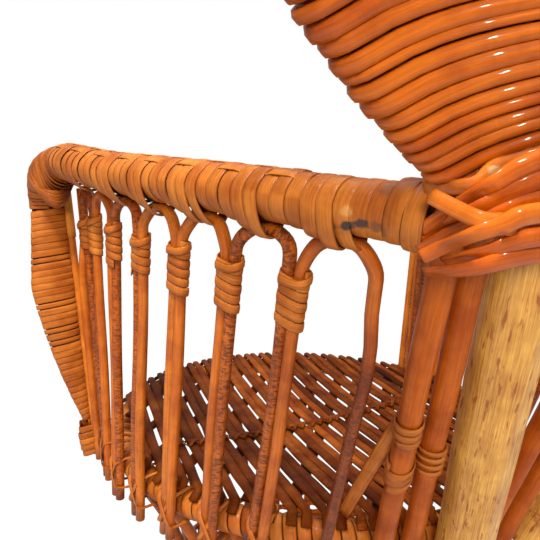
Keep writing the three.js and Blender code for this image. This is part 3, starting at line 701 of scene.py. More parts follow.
rail = bmesh.new()
windCane(rail, railFrame, railOutline, railSettings["loops"], railSettings["steps"],
         railSettings["length"] / railSettings["loops"] * 1.04, railSettings["thick"],
         railSettings["spread"], railSettings["tone"], start=-pi / 2, sides=10, hand=-1)
for strip, at in enumerate(railSettings["stripTurns"]):
    frames = []
    c, s = cos(radians(at)), sin(radians(at))
    first = int(railSettings["stripFrom"] * railSettings["loops"]) * 8
    for i in range(first, railSettings["loops"] * 8 + 1):
        loop = i / 8
        share = loop / railSettings["loops"]
        place, along, out, over = railFrame(share)
        wide, deep = railHalves(share)
        part = (loop - stripCrossing(strip) + 0.5) / 2
        inside = smooth(min(part % 1, 1 - part % 1) / 0.2)
        shows = stripShows(strip, floor(part) * 2) and i > first + 8
        lift = mix(1.0, 1.9 if shows else 0.1, inside)
        away = (out * (c / wide) + over * (s / deep)).normalized()
        p = place + out * wide * c + over * deep * s + away * lift
        frames.append((p, along.cross(away).normalized(), away, railSettings["stripWidth"] / 2,
                       railSettings["stripThick"]))
    sweepStrand(rail, frames, 8, luck.uniform(0.6, 0.8), 0, caneProfile)
finishPair("railWrap", rail, caneFinish, "cane_peel", "arm_winding")

railCore = bmesh.new()
frames = []
for share in shares(180):
    place, _, out, over = railFrame(share)
    wide, deep = railHalves(share)
    hang = 0.4 * min(crownDroop(railAngle(share)), crownDroop(railAngle(share) + 1.0))
    frames.append((place - over * hang / 2, out, over, wide - 0.4, deep - 0.4 + hang / 2))
# the core takes the darkest tone: painted shade for what shows of it between the wraps
sweepStrand(railCore, frames, 16, 0.0)
print("rail wraps")

# leaf at the front of the arm, with the rail's turn down into it

leafSettings = {"side": 6.4, "flare": 11, "reach": 49, "drop": 37, "foot": 112, "tuck": 3.0,
                "width": 44, "depth": 15, "swell": 190, "bulge": 0.45, "narrowing": 0.2, "narrowFrom": 200,
                "pitch": 6.8, "steps": 24, "thick": 1.0, "tone": 0.34, "gapRows": [7, 14, 18, 20],
                "cornerLoops": 25, "cornerSteps": 32, "cornerCane": 5.8, "cornerThick": 1.6,
                "cornerShadeTone": 0.22, "cornerHandle": 0.8, "gusset": 34,
                "sleeve": 34, "knob": 17, "knobCane": 7.2, "knobThick": 1.8}


def edgeLine():
    forward = Vector((leafSettings["side"], -leafSettings["reach"], -leafSettings["drop"]))
    top = railPoint(arm["front"]) + forward
    foot = footOutside(leafSettings["foot"], top, rodHalf + 2.5) + sideways * leafSettings["flare"]
    along = (top - foot).normalized()
    return None, top, along, squared(sideways, along)


leafLine = edgeLine()
leafTail = (arm["tail"] - 6) / leafLine[2].z + 17.5
leafLength = tailDrop(leafLine)
leafFace = leafLine[2].cross(leafLine[3])


def leafHalves(distance):
    share = held((distance - leafTail) / (leafSettings["swell"] - leafTail))
    swell = share * (1 + leafSettings["bulge"] * (1 - share))
    past = max(0, (distance - leafSettings["narrowFrom"]) / (leafLength - leafSettings["narrowFrom"]))
    broad = leafSettings["width"] * (1 - leafSettings["narrowing"] * past)
    return mix(arm["rod"], broad, swell) / 2, mix(arm["rod"], leafSettings["depth"], swell) / 2


def leafFrame(share):
    distance = mix(leafTail, leafLength, share)
    shift = leafHalves(distance)[0] + rodHalf + arm["gap"] - leafSettings["tuck"]
    return onLine(leafLine, leafLength - distance, shift), leafLine[2], leafLine[3], leafFace


def leafOutline(share, turn, loop):
    wide, deep = leafHalves(mix(leafTail, leafLength, share))
    c, s = cos(turn), sin(turn)
    return (wide - 1.4) * c, (deep - 1.4) * s, c / wide, s / deep, 0.2 * sin(loop * 1.7), 0


cornerStart = railFrame(1.0)
cornerEnd = leafFrame(1.0)
cornerBend = cornerEnd[0] + leafLine[2] * ((cornerStart[0].z - cornerEnd[0].z) / leafLine[2].z)


def cornerFrame(share):
    a, d = cornerStart[0], cornerEnd[0]
    b, c = a.lerp(cornerBend, leafSettings["cornerHandle"]), d.lerp(cornerBend, leafSettings["cornerHandle"])
    left = 1 - share
    place = a * left ** 3 + b * 3 * left ** 2 * share + c * 3 * left * share ** 2 + d * share ** 3
    along = ((b - a) * left ** 2 + (c - b) * 2 * left * share + (d - c) * share ** 2).normalized()
    across = squared(cornerStart[2].lerp(cornerEnd[2], share), along)
    return place, along, across, along.cross(across).normalized()


def cornerHalves(share):
    wide = mix(arm["frontWidth"] / 2 + 0.5, leafHalves(leafLength)[0] - 1.2, share)
    return wide, mix(arm["frontDepth"] + 1, leafSettings["depth"] - 2.4, smooth(share)) / 2


def cornerOutline(share, turn, loop):
    wide, deep = cornerHalves(share)
    c, s = cos(turn), sin(turn)
    # the inside of the turn is filled out
    inner = leafSettings["gusset"] * sin(pi * share ** 1.2) ** 1.3 * max(0, -s)
    return wide * c, deep * s - inner, c / wide, s / deep, 0.2 * sin(loop * 2.1), 0


leaf = bmesh.new()
leafRows = (leafLength - leafTail - 4) / leafSettings["pitch"]


def rowWidth(share):
    # here and there two rows stand apart
    apart = int((1 - share) * leafRows) in leafSettings["gapRows"]
    return leafSettings["pitch"] * (0.74 if apart else 1.04)


windCane(leaf, lambda share: leafFrame(share * 0.985), leafOutline, leafRows, leafSettings["steps"], rowWidth,
         leafSettings["thick"], 0.07, leafSettings["tone"], start=pi / 2, tapered=True)
# the corner is wound in a darker tone than the rail: painted shade for the turn that faces away from the
# light
windCane(leaf, cornerFrame, cornerOutline, leafSettings["cornerLoops"], leafSettings["cornerSteps"],
         leafSettings["cornerCane"], leafSettings["cornerThick"], 0.1, leafSettings["cornerShadeTone"],
         start=-pi / 2, hand=-1)
finishPair("armLeaf", leaf, caneFinish, "woven_core", "arm_leaf")

frames = []
for share in shares(24):
    place, _, out, over = cornerFrame(share)
    wide, deep = cornerHalves(share)
    frames.append((place, out, over, wide - 0.4, deep - 0.4))
for t in shares(24)[1:]:
    place, _, out, over = leafFrame(1 - t)
    wide, deep = leafHalves(mix(leafTail, leafLength, 1 - t))
    frames.append((place, out, over, wide - 2.4, deep - 2.4))
# here too the core's darkest tone is painted shade for what shows through the wraps
sweepStrand(railCore, frames, 16, 0.0)
finishPair("railCore", railCore, coreFinish, "rattan_pole", "arm_rail")

edgeRod = bmesh.new()
path = [onLine(leafLine, mix(leafLength, rodHalf, t)) for t in shares(20)]
roundRod(edgeRod, path, rodHalf, 12, 0.75, 0.05)
path = [onLine(leafLine, mix(leafSettings["sleeve"], -18, t)) for t in shares(6)]
roundRod(edgeRod, path, rodHalf + 1, 12, 0.98)
finishPair("edgeRod", edgeRod, rodFinish, "rattan_rod", "edge_rod")

knob = bmesh.new()
knobDrop = (leafLine[1].z - seat["height"] + 6) / leafLine[2].z


def knobFrame(share):
    place = onLine(leafLine, knobDrop + leafSettings["knob"] * (1 - 2 * share), pairHalf)
    return place, leafLine[2], leafLine[3], leafFace


def knobOutline(share, turn, loop):
    return collarOutline(rodHalf + 0.3 + 2.4 * sin(pi * share), pairHalf)(share, turn, loop)


windCane(knob, knobFrame, knobOutline, 5, 24, leafSettings["knobCane"], leafSettings["knobThick"], 0.1, 0.35)
finishPair("leafKnob", knob, caneFinish, "cane_peel", "leaf_knob")
print("arm leaves")

# seat: pairs of strands over slanting stakes, turned down over the ring

seatSettings = {"halfWidth": 5.4, "tail": 4.4, "flat": 2.4, "pair": 24.5, "within": 10.0, "shift": 10.25,
                "turned": 12.2, "edge": 229, "level": 430.6, "dish": 12, "dishRadius": 205, "gather": 40,
                "turnDown": 15, "taperFrom": 190, "taperLength": 36,
                "wave": 63.6, "first": -24.3, "lift": 0.35,
                "stake": 6.5, "stakeThick": 2.0, "stakeDepth": 4.7, "stakeEdge": 221,
                "lashing": 24, "lashingReach": 190, "lash": 2.4, "lashThick": 0.55}
strandTurn = radians(seatSettings["turned"])
strandAlong = Vector((sin(strandTurn), cos(strandTurn), 0))
strandAcross = strandAlong.cross(upright)


def seatLevel(r):
    return seatSettings["level"] - seatSettings["dish"] * (1 - min(1, r / seatSettings["dishRadius"]) ** 2)


def seatPlace(across, along, lift):
    p = strandAcross * across + strandAlong * along
    p.z = seatLevel(p.length) + lift
    return p


seatDeck = bmesh.new()
seatRows = []
for k in range(-10, 10):
    middle = seatSettings["shift"] + k * seatSettings["pair"]
    for side in (-1, 1):
        across = middle + side * seatSettings["within"] / 2
        if abs(across) < seatSettings["edge"] - 12:
            seatRows.append((k, side, middle, across))
for k, side, middle, across in seatRows:
    end = sqrt(seatSettings["edge"] ** 2 - across * across)
    steps = max(10, int(end / 6))
    wander = anyPhase()
    path = []
    for i in range(-steps, steps + 1):
        along = end * i / steps
        near = smooth((abs(along) - end + seatSettings["gather"]) / seatSettings["gather"])
        turn = 2 * pi * (along - seatSettings["first"]) / seatSettings["wave"] + pi * (k + 1)
        gathered = mix(across + 0.5 * sin(along / 31 + wander), middle + side * 5.0, near * 0.8)
        path.append(seatPlace(gathered, along, seatSettings["lift"] * cos(turn) * (1 - near)))
    for way in (-1, 1):
        tail = path[0] if way < 0 else path[-1]
        out = Vector((tail.x, tail.y, 0)).normalized()
        turnDown = []
        for a in (72, 58, 44):
            reach = seat["radius"] + seatSettings["turnDown"] * cos(radians(a))
            height = seat["height"] + seatSettings["turnDown"] * sin(radians(a))
            turnDown.append(out * reach + upright * height)
        path = turnDown[::-1] + path if way < 0 else path + turnDown
    frames = []
    for p, over, out, _, thick in flatFrames(path, [upright] * len(path), 1, seatSettings["flat"]):
        taper = smooth((hypot(p.x, p.y) - seatSettings["taperFrom"]) / seatSettings["taperLength"])
        wide = mix(seatSettings["halfWidth"], seatSettings["tail"], taper)
        frames.append((p, over, out, wide, thick))
    sweepStrand(seatDeck, frames, 10, held(luck.gauss(0.42, 0.16)), luck.choice((0, 0, 0.3, 0.5)))
# from gap to gap a stake moves on by half the way to its neighbour
slant = seatSettings["wave"] * 0.58 / seatSettings["pair"]
for j in range(-13, 14):
    start = seatSettings["first"] + 51 * slant + (j + 0.5) * seatSettings["wave"]
    path = []
    for i in range(-44, 45):
        across = i * 5.0
        if hypot(across, start + slant * across) < seatSettings["stakeEdge"]:
            path.append(seatPlace(across, start + slant * across, -seatSettings["stakeDepth"]))
    if len(path) > 3:
        frames = flatFrames(path, [upright] * len(path), seatSettings["stake"], seatSettings["stakeThick"])
        # the stakes take a dark tone: painted shade for their place under the strands
        sweepStrand(seatDeck, frames, 8, 0.12)
# one row of crossed lashings
for _, _, _, across in seatRows:
    x = (across + seatSettings["lashing"] * sin(strandTurn)) / cos(strandTurn)
    if abs(x) > seatSettings["lashingReach"]:
        continue
    for way in (-1, 1):
        points, outs = [], []
        for i in range(9):
            t = i / 4 - 1
            p = Vector((x + 7 * t, seatSettings["lashing"] + way * 6 * t, 0))
            p.z = seatLevel(p.length) + 4.9 - 2.4 * abs(t) ** 2 + 0.3 * way
            points.append(p)
            outs.append(Vector((0.6 * t, 0, 1)))
        flatCane(seatDeck, points, outs, seatSettings["lash"], seatSettings["lashThick"], 6,
                 luck.uniform(0.3, 0.6))
finishPiece("seatWeave", seatDeck, coreFinish, "woven_core", "seat_deck")
print("seat weave")

# base: two wound rings, hourglass spokes and a woven waist

baseSettings = {"floorRadius": 255, "floorPole": 26, "pitch": 11.0, "cane": 1.8, "caneSteps": 14,
                "spokes": 20, "spoke": 5.0, "waist": 150, "waistHeight": 200, "hoop": 140, "hoopPole": 7,
                "bandHeight": 64, "rows": 9, "rowRadius": 3.5, "rowWave": 7.6}


def ringFrame(radius, height):
    def at(share):
        a = 2 * pi * share
        out = ringPoint(a, 1, 0)
        return out * radius + upright * height, Vector((cos(a), -sin(a), 0)), out, upright
    return at


def roundOutline(radius, ripple=0.2):
    def outline(share, turn, loop):
        c, s = cos(turn), sin(turn)
        return radius * c, radius * s, c, s, ripple * sin(loop * 2.3), 0
    return outline


def woundRing(name, radius, height, pole, solid):
    ring = bmesh.new()
    pitch, thick = baseSettings["pitch"], baseSettings["cane"]
    windCane(ring, ringFrame(radius, height), roundOutline(pole / 2 - thick, 0.15),
             round(2 * pi * radius / pitch), baseSettings["caneSteps"], pitch * 1.03, thick, 0.2, 0.45)
    finishPiece(name, ring, caneFinish, "cane_peel", solid)


woundRing("floorRingWrap", baseSettings["floorRadius"], baseSettings["floorPole"] / 2 + 0.4,
          baseSettings["floorPole"], "floor_ring")
woundRing("seatRingWrap", seat["radius"], seat["height"], seat["pole"], "seat_ring")


def spokeRadius(height):
    top, low = seat["height"] - seat["pole"] / 2, baseSettings["floorPole"]
    middle = baseSettings["waistHeight"]
    if height > middle:
        return mix(baseSettings["waist"], seat["radius"], ((height - middle) / (top - middle)) ** 2)
    return mix(baseSettings["waist"], baseSettings["floorRadius"], ((middle - height) / (middle - low)) ** 2)


spokes = bmesh.new()
for n in range(baseSettings["spokes"]):
    a = 2 * pi * n / baseSettings["spokes"]
    path = []
    for t in shares(30):
        height = mix(baseSettings["floorPole"] - 1, seat["height"] - seat["pole"] / 2 + 1, t)
        path.append(ringPoint(a, spokeRadius(height), height))
    roundRod(spokes, path, baseSettings["spoke"], 10, luck.uniform(0.25, 0.85), luck.choice((0, 0, 0.4, 0.8)))
path = [ringPoint(2 * pi * i / 80, baseSettings["hoop"], baseSettings["waistHeight"]) for i in range(81)]
roundRod(spokes, path, baseSettings["hoopPole"], 10, 0.5, 0.3, True)
finishPiece("baseSpokes", spokes, rodFinish, "rattan_rod", "base_spokes")

waist = bmesh.new()
for row in range(baseSettings["rows"]):
    up = row / (baseSettings["rows"] - 1) - 0.5
    height = baseSettings["waistHeight"] + baseSettings["bandHeight"] * up * 0.9
    path = []
    for i in range(161):
        a = 2 * pi * i / 160
        wave = baseSettings["rowWave"] * cos(baseSettings["spokes"] / 2 * a + pi * row)
        path.append(ringPoint(a, spokeRadius(height) + 2.0 + wave, height))
    roundRod(waist, path, baseSettings["rowRadius"], 8, luck.uniform(0.3, 0.8), 0, True)
finishPiece("waistWeave", waist, glossFinish, "woven_core", "waist_band")
print("base")

# fan, with its places as in the solid model

fan = {"throat": 668, "back": 339, "leanLow": 17, "leanHigh": 6, "curl": 53, "halfWidth": 470, "centre": 506,
       "dip": 35, "rise": 334, "rim": 22, "panel": 330, "focus": -55, "rib": 8, "ribs": 15, "spread": 52,
       "arcs": [480, 640], "corner": 293}
fanHigh = fan["centre"] + fan["rise"]
fanLow = fan["centre"] + fan["dip"]
fanBend = radians(fan["leanLow"] - fan["leanHigh"]) / fanHigh
rimHalf = fan["rim"] / 2


def fanLean(height):
    return radians(mix(fan["leanLow"], fan["leanHigh"], height / fanHigh))


def fanPoint(x, height):
    lean, low = fanLean(height), radians(fan["leanLow"])
    z = fan["throat"] + (sin(low) - sin(lean)) / fanBend
    back = fan["back"] + (cos(lean) - cos(low)) / fanBend
    return Vector((x, back - fan["curl"] * (x / fan["halfWidth"]) ** 2, z))


def fanNormal(x, height):
    lean = fanLean(height)
    across = Vector((1, -2 * fan["curl"] * x / fan["halfWidth"] ** 2, 0))
    return -across.cross(Vector((0, sin(lean), cos(lean)))).normalized()


def ovalPoint(turn):
    # an egg: deeper below the widest place than above it
    half = fanLow if cos(turn) > 0 else fan["rise"]
    return (fan["halfWidth"] - rimHalf) * sin(turn), fan["centre"] - (half - rimHalf) * cos(turn)


def rimHeight(x):
    return fan["centre"] - (fanLow - rimHalf) * sqrt(1 - (x / (fan["halfWidth"] - rimHalf)) ** 2)


def rayToRim(angle, inset):
    for half in (fan["rise"], fanLow):
        a, b = fan["halfWidth"] - inset, half - inset
        dx, dz = sin(angle) / a, cos(angle) / b
        drop = (fan["focus"] - fan["centre"]) / b
        square, cross = dx * dx + dz * dz, drop * dz
        inside = cross * cross - square * (drop * drop - 1)
        reach = (sqrt(max(0, inside)) - cross) / square
        if inside > 0 and (half == fanLow or fan["focus"] + reach * cos(angle) > fan["centre"]):
            return reach


def fanPolar(angle, radius):
    return radius * sin(angle), fan["focus"] + radius * cos(angle)


fanSettings = {"narrow": 4.2, "broad": 8.0, "halfThick": 2.7, "lowest": -20, "highest": 276, "bow": 600,
               "offset": 3.2, "edge": 7.0, "edgeWidth": 30, "crest": 12.0, "crestAt": 48, "fade": 130,
               "crestFrom": 265, "crestOver": 36, "overRim": 7.2,
               "tip": 9, "tipLength": 18, "leanOver": 300, "ribRod": 3.0, "ribApart": 3.1, "arcRod": 2.6,
               "arcApart": 5.2, "border": 4.0, "rimCane": 1.8, "rimPitch": 10.5, "rimSteps": 14,
               "hiddenRim": 7.0}


def bowHeight(apex, x, end):
    # a flat arc that bends down at its ends
    tip = fanSettings["tip"] * exp((abs(x) - end) / fanSettings["tipLength"])
    return -fanSettings["bow"] + sqrt((fanSettings["bow"] + apex) ** 2 - x * x) - tip


def rowEnd(apex):
    # how far out a row reaches: to the rim, or to the rod that borders the panel
    x = 0.0
    while x < 400:
        height = bowHeight(apex, x, x + fanSettings["overRim"])
        if height < rimHeight(x):
            return x, True
        if hypot(x, height - fan["focus"]) > fan["panel"] + 4:
            return x, False
        x += 1.0
    return x, True


def crestAt(inward):
    # the back of the panel is fullest where it lies over the posts, and thins out to the edge
    crest, at = fanSettings["crest"], fanSettings["crestAt"]
    if inward < at:
        return crest - (crest - fanSettings["edge"]) * (1 - inward / at) ** 2
    return mix(crest, fanSettings["offset"], smooth((inward - at) / fanSettings["fade"]))


def fanRow(apex, end, atRim, lean):
    # once along the back, round the rim, along the front and round the other side
    bar = fanSettings["edge"] if atRim else fan["rib"] / 2 + fanSettings["halfThick"]
    count = max(16, int(end / 5))
    points, outs = [], []
    for side in (1, -1):
        for t in shares(count):
            x = side * mix(end, -end, t)
            height = bowHeight(apex, x, end) + lean * x
            inward = end - abs(x)
            off = mix(fanSettings["offset"], bar, max(0, 1 - inward / fanSettings["edgeWidth"]))
            if side > 0 and atRim:
                share = smooth((end - fanSettings["crestFrom"]) / fanSettings["crestOver"])
                off = mix(crestAt(inward), off, share)
            points.append(fanPoint(x, height) + fanNormal(x, height) * off * side)
            outs.append(fanNormal(x, height) * side)
        x = -side * end
        height = bowHeight(apex, x, end) + lean * x
        centre, normal = fanPoint(x, height), fanNormal(x, height)
        outward = centre - fanPoint(x * 0.97, bowHeight(apex, x * 0.97, end) + lean * x)
        outward.normalize()
        for a in (30, 60, 90, 120, 150):
            c, s = cos(radians(a)), sin(radians(a))
            points.append(centre + normal * bar * c * side + outward * bar * 1.12 * s)
            outs.append(normal * c * side + outward * s)
    points.append(points[0].copy())
    outs.append(outs[0].copy())
    return points, outs


panel = bmesh.new()
apex = fanSettings["lowest"]
while apex < fanSettings["highest"]:
    wide = luck.uniform(fanSettings["narrow"], fanSettings["broad"])
    end, atRim = rowEnd(apex + wide / 2)
    if end > 20:
        reach = end + fanSettings["overRim"] if atRim else end
        lean = luck.uniform(-1.2, 1.2) / fanSettings["leanOver"]
        points, outs = fanRow(apex + wide / 2, reach, atRim, lean)
        sweepStrand(panel, flatFrames(points, outs, wide * 0.54, fanSettings["halfThick"], True), 8,
                    held(luck.gauss(0.5, 0.18), 0.82), luck.choice((0, 0, 0, 0.25)), rowProfile, True)
    apex += wide
finishPiece("fanPanelWeave", panel, glossFinish, "woven_core", "fan_panel")
print("fan panel")

lattice = bmesh.new()
ribAngles = [radians(mix(-fan["spread"], fan["spread"], t)) for t in shares(fan["ribs"] - 1)]
for angle in ribAngles:
    for side in (-1, 1):
        shift = side * fanSettings["ribApart"]
        path = []
        for t in shares(16):
            x, height = fanPolar(angle, mix(fan["panel"] - 6, rayToRim(angle, fan["rim"] - 4), t))
            path.append(fanPoint(x + shift * cos(angle), height - shift * sin(angle)))
        tone, bark = luck.uniform(0.3, 0.8), luck.choice((0, 0, 0.3, 0.7))
        roundRod(lattice, path, fanSettings["ribRod"], 8, tone, bark)
step = ribAngles[1] - ribAngles[0]
for radius, strands in ((fan["panel"] + 4.4, 1), (fan["arcs"][0], 5), (fan["arcs"][1], 5)):
    for strand in range(strands):
        r = radius + (strand - (strands - 1) / 2) * fanSettings["arcApart"]
        crossed = [a for a in ribAngles if rayToRim(a, fan["rim"]) > radius + fan["rib"]]
        # the arcs run out to the rim, the border of the panel ends past the last rib
        last = crossed[-1] + step * 0.3
        while strands > 1 and rayToRim(last, fan["rim"] * 0.6) > r and last < crossed[-1] + step * 1.2:
            last += step * 0.02
        path = []
        for t in shares(int(16 * last / step)):
            angle = mix(-last, last, t)
            x, height = fanPolar(angle, r)
            wave = 0
            if strands > 1:
                wave = fanSettings["arcApart"] * cos(pi * (angle - ribAngles[0]) / step + pi * strand)
            path.append(fanPoint(x, height) + fanNormal(x, height) * wave)
        thick = fanSettings["arcRod"] if strands > 1 else fanSettings["border"]
        roundRod(lattice, path, thick, 8, luck.uniform(0.4, 0.8))
finishPiece("fanLattice", lattice, rodFinish, "rattan_rod", "fan_lattice")

rim = bmesh.new()
corner = asin(fan["corner"] / (fan["halfWidth"] - rimHalf))


def rimFrame(share):
    turn = mix(corner, 2 * pi - corner, share)
    place, over = fanPoint(*ovalPoint(turn)), fanNormal(*ovalPoint(turn))
    along = (fanPoint(*ovalPoint(turn + 0.001)) - fanPoint(*ovalPoint(turn - 0.001))).normalized()
    return place, along, along.cross(over).normalized(), over


def hiddenRim(t):
    # the rim is thinner where the panel covers it
    return mix(fanSettings["hiddenRim"], rimHalf - 0.4, smooth(abs(t - 0.5) * 20 - 9))


rimLength = sum((rimFrame((i + 1) / 200)[0] - rimFrame(i / 200)[0]).length for i in range(200))
windCane(rim, rimFrame, roundOutline(rimHalf - fanSettings["rimCane"]),
         round(rimLength / fanSettings["rimPitch"]), fanSettings["rimSteps"], fanSettings["rimPitch"] * 1.03,
         fanSettings["rimCane"], 0.16, 0.5)
path = [fanPoint(*ovalPoint(mix(-corner - 0.05, corner + 0.05, t))) for t in shares(24)]
roundRod(rim, path, hiddenRim, 12, 0.2)
finishPiece("fanRimWrap", rim, caneFinish, "cane_peel", "fan_rim")
print("fan")

# posts behind the seat; a strut has its foot's angle, its top's place and its tone,
# a band its strut, height, turns and tilt

postSettings = {"bamboo": 20, "bambooFoot": 12.2, "bambooTop": 132, "groove": -47, "strut": 7.5,
                "struts": {"outer_strut": (25.7, 192, 0.5), "inner_strut": (20.6, 171, 0.6),
                           "middle_strut": (4.2, 23, 0.4)},
                "bands": [(0, 536, 2.5, 0.05), (0, 500, 3, -0.2), (1, 512, 3.5, 0.4)],
                "bandRadius": 7.6, "bandCane": 6.5, "bandThick": 1.6, "bandSteps": 20,
                "braceFoot": 32, "braceTop": 556, "brace": 5.0, "braceThick": 1.6}


def postEnds(footAngle, topX, radius):
    top = fanPoint(topX, rimHeight(topX))
    foot = footOutside(footAngle, top, radius)
    along = (top - foot).normalized()
    return foot - along * (arm["tail"] / along.z), top - along * 6


def bambooProfile(x, y):
    # a lengthwise groove near one side
    away = abs(degrees(atan2(x, y)) - postSettings["groove"])
    dip = 0.08 * max(0, 1 - away / 10) ** 0.7
    return x * (1 - dip), y * (1 - dip)


bamboo = bmesh.new()
low, high = postEnds(postSettings["bambooFoot"], postSettings["bambooTop"], postSettings["bamboo"])
along = (high - low).normalized()
out = squared(Vector((240, 230, 100)), along)  # the side the groove is reckoned from
frames = []
for t in shares(40):
    swell = 1 + 0.035 * exp(-((t - 0.1) / 0.018) ** 2) + 0.006 * sin(t * 17)
    radius = postSettings["bamboo"] * swell
    frames.append((low.lerp(high, t), out.cross(along).normalized(), out, radius, radius))
sweepStrand(bamboo, frames, 48, 0.5, lambda i: 0.9 if i == 4 else 0.0, bambooProfile)
finishPair("bambooPost", bamboo, bambooFinish, "bamboo_pole", "bamboo_post")

struts = bmesh.new()
strutEnds = []
for footAngle, topX, tone in postSettings["struts"].values():
    low, high = postEnds(footAngle, topX, postSettings["strut"])
    strutEnds.append((low, high))
    path = wobbled([low.lerp(high, t) for t in shares(24)], 0.3)
    roundRod(struts, path, lambda t: postSettings["strut"] * (1 + 0.015 * sin(t * 19)), 16, tone, 0.06)
finishPair("postStruts", struts, poleFinish, "rattan_pole", *postSettings["struts"])


def onStrut(index, height):
    low, high = strutEnds[index]
    return low.lerp(high, (height - low.z) / (high.z - low.z))


bands = bmesh.new()
for index, height, turns, tilt in postSettings["bands"]:
    low, high = strutEnds[index]
    along = (high - low).normalized()
    out = squared(sideways, along)
    over = along.cross(out)
    middle = onStrut(index, height)

    def bandAt(share):
        place = middle + along * postSettings["bandCane"] * turns * (share - 0.5)
        return place, (along + out * tilt).normalized(), out, over

    def slanted(share, turn, loop):
        c, s = cos(turn), sin(turn)
        r = postSettings["bandRadius"]
        return r * c, r * s, c, s, 0, r * tilt * c
    windCane(bands, bandAt, slanted, turns, postSettings["bandSteps"], postSettings["bandCane"],
             postSettings["bandThick"], 0.1, 0.3)
# a flat strip runs from behind the outer strut down to the ring
foot = footPoint(postSettings["braceFoot"], seat["radius"], seat["height"] + 15)
head = onStrut(0, postSettings["braceTop"]) - Vector((6.4, 6.0, 2.4))
points = [foot.lerp(head, t) + Vector((1.5, 0, 0)) * sin(pi * t) for t in shares(12)]
outs = [Vector((0.7, 0.65, 0.3))] * len(points)
flatCane(bands, points, outs, postSettings["brace"], postSettings["braceThick"], 8, 0.55)
finishPair("strutBands", bands, caneFinish, "cane_peel")
print("posts")

# strands that bind rails, posts and fan at the throat: places on the left half, height at the middle, tone

bindSettings = {
    "halfWidth": 4.7, "halfThick": 2.2, "middleBack": 27, "draw": 34, "drawLength": 30, "slim": 0.75,
    "slimLength": 14, "outerCorner": (387, 490, 667), "heart": 9,
    "heartPlaces": [(200, 312, 665), (182, 330, 667), (150, 342, 672)],
    "strands": [
        ([(222, 347, 644), (201, 350, 645), (159, 355, 651)], 656, 0.55),
        ([(217, 351, 649), (199, 354, 652), (167, 359, 659)], 670, 0.45),
        ([(235, 355, 651), (226, 357.5, 655), (212, 360, 660), (200, 363, 664), (181, 366, 669)], 688, 0.7),
        ([(225, 345, 653), (212, 349, 660), (194, 353, 667), (168, 358, 675)], 704, 0.4),
        ([(226, 346, 657), (217, 349, 663), (202, 353, 670), (173, 360, 683)], 720, 0.35),
        ([(228, 347, 660), (213, 352, 671), (198, 356, 680), (177, 362, 691)], 738, 0.5),
        ([(228, 348, 677), (203, 350, 679), (178, 350, 690)], 728, 0.85),
        ([(237, 358.4, 673.5), (222, 359, 668.7), (207, 359, 665), (195, 360, 664), (160, 352, 662)],
         664, 0.8),
    ],
}


def fanAt(x, z):
    # the fan's surface at a height above the floor
    height = (z - fan["throat"]) / cos(radians(fan["leanLow"]))
    return fanPoint(x, height), fanNormal(x, height)


outerCorner = Vector(bindSettings["outerCorner"])
binding = bmesh.new()
for side in (-1, 1):
    heart = [Vector((side * x, y, z)) for x, y, z in bindSettings["heartPlaces"]]
    roundRod(binding, easyCurve(heart, 4), bindSettings["heart"], 12, 0.0, 0.3)
for places, middle, tone in bindSettings["strands"]:
    left = [Vector(p) for p in places]
    # the end is drawn in from the outer corner, against the rail's end
    free = left[0].x
    for p in left:
        draw = bindSettings["draw"] * (1 - smooth((free - p.x) / bindSettings["drawLength"]))
        p += (p - outerCorner).normalized() * draw
    last = left[-1]
    lastBack = last.y - fanAt(last.x, last.z)[0].y
    between = []
    for part in (0.55, 0, -0.55):
        x = last.x * part
        share = (x / last.x) ** 2
        surface, normal = fanAt(x, mix(middle, last.z, share))
        between.append(surface + normal * mix(bindSettings["middleBack"], lastBack, share))
    points = easyCurve(left + between + [Vector((-p.x, p.y, p.z)) for p in left[::-1]], 6)
    outs = []
    for p in points:
        outs.append(fanAt(p.x, p.z)[1] + sideways * copysign(0.7 * smooth((abs(p.x) - 175) / 50), p.x))
    frames = []
    for p, across, out, wide, thick in flatFrames(points, outs, bindSettings["halfWidth"],
                                                  bindSettings["halfThick"]):
        inward = smooth((abs(left[0].x) - abs(p.x)) / bindSettings["slimLength"])
        slim = mix(bindSettings["slim"], 1, inward)
        frames.append((p, across, out, wide * slim, thick * slim))
    sweepStrand(binding, frames, 10, tone, 0.1, rowProfile)
finishPiece("throatBinding", binding, glossFinish, "cane_peel", "throat_strap")
print("throat binding")

# floor, light and background

floorSettings = {"size": 14, "bounce": 0.45, "near": 0.8, "far": 2.6, "nearWhite": 0.86, "shadow": 0.14,
                 "mirrored": 0.12, "ambient": 0.24}

floorMesh = bmesh.new()
bmesh.ops.create_grid(floorMesh, x_segments=1, y_segments=1, size=floorSettings["size"])
floorData = bpy.data.meshes.new("paleFloor")
floorMesh.to_mesh(floorData)
floorMesh.free()
paleFloor = bpy.data.objects.new("paleFloor", floorData)
scene.collection.objects.link(paleFloor)


def seenRays(tree):
    # what the camera sees, in part also what lacquer mirrors
    rays = node(tree, "LightPath").outputs
    clear = sums(tree, "MAXIMUM", rays["Is Camera Ray"], rays["Is Transmission Ray"])
    gloss = sums(tree, "MULTIPLY", rays["Is Glossy Ray"], floorSettings["mirrored"])
    return sums(tree, "MAXIMUM", clear, gloss)


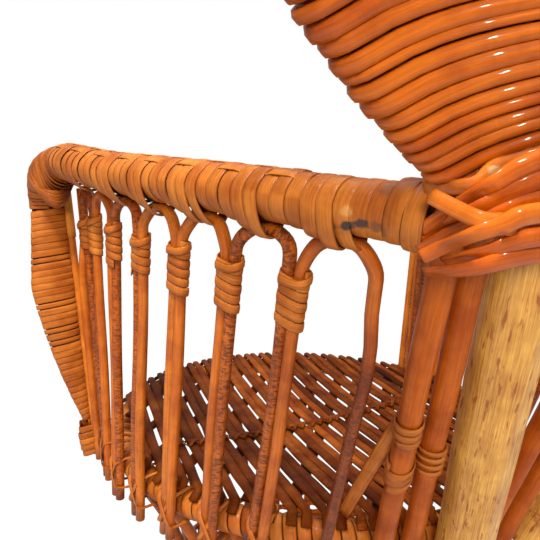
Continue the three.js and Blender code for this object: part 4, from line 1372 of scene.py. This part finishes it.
floorFinish = bpy.data.materials.new("paleFloor")
floorFinish.use_nodes = True
ground = floorFinish.node_tree
ground.nodes.clear()
spot = node(ground, "TexCoord").outputs["Object"]
away = node(ground, "VectorMath", {0: spot}, operation="LENGTH").outputs["Value"]
reach = {"Value": away, "From Min": floorSettings["near"], "From Max": floorSettings["far"]}
outer = node(ground, "MapRange", reach, interpolation_type="SMOOTHSTEP").outputs["Result"]
plain = node(ground, "BsdfDiffuse", {"Color": grey(floorSettings["bounce"])}).outputs[0]
shadow = blend(ground, "MIX", outer, grey(floorSettings["shadow"]), grey(0))
white = blend(ground, "MIX", outer, grey(floorSettings["nearWhite"]), grey(1))
shadowed = node(ground, "BsdfDiffuse", {"Color": shadow}).outputs[0]
glow = node(ground, "Emission", {"Color": white}).outputs[0]
seen = node(ground, "AddShader", {0: glow, 1: shadowed}).outputs[0]
floorMix = node(ground, "MixShader", {0: seenRays(ground), 1: plain, 2: seen}).outputs[0]
node(ground, "OutputMaterial", {0: floorMix})
floorData.materials.append(floorFinish)

# name, place, aim, size and power
lightSettings = [("keyLight", (1.15, 0.75, 2.45), (0.2, 0.1, 0.62), 0.3, 66),
                 ("glintLight", (-0.56, 2.06, 1.75), (0.2, 0.35, 0.7), 0.12, 14),
                 ("windowLight", (1.35, 1.75, 1.3), (0.15, 0.1, 0.6), 0.8, 36),
                 ("topLight", (-0.2, -0.2, 2.9), (0.0, 0.0, 0.5), 1.8, 22),
                 ("frontLight", (-0.9, -2.3, 1.7), (0.0, 0.0, 0.7), 1.5, 36)]
for name, place, aim, size, power in lightSettings:
    lamp = bpy.data.lights.new(name, "AREA")
    lamp.size = size
    lamp.energy = power
    lampObject = bpy.data.objects.new(name, lamp)
    scene.collection.objects.link(lampObject)
    lampObject.visible_glossy = name not in ("windowLight", "frontLight")
    lampObject.location = place
    lampObject.rotation_euler = (Vector(aim) - Vector(place)).to_track_quat("-Z", "Y").to_euler()

world = bpy.data.worlds.new("studio")
scene.world = world
world.use_nodes = True
sky = world.node_tree
sky.nodes.clear()
ambient = node(sky, "Background", {"Color": grey(1), "Strength": floorSettings["ambient"]}).outputs[0]
bright = node(sky, "Background", {"Color": grey(1), "Strength": 1.0}).outputs[0]
skyMix = node(sky, "MixShader", {0: seenRays(sky), 1: ambient, 2: bright}).outputs[0]
node(sky, "OutputWorld", {0: skyMix})
scene.view_settings.view_transform = "Standard"
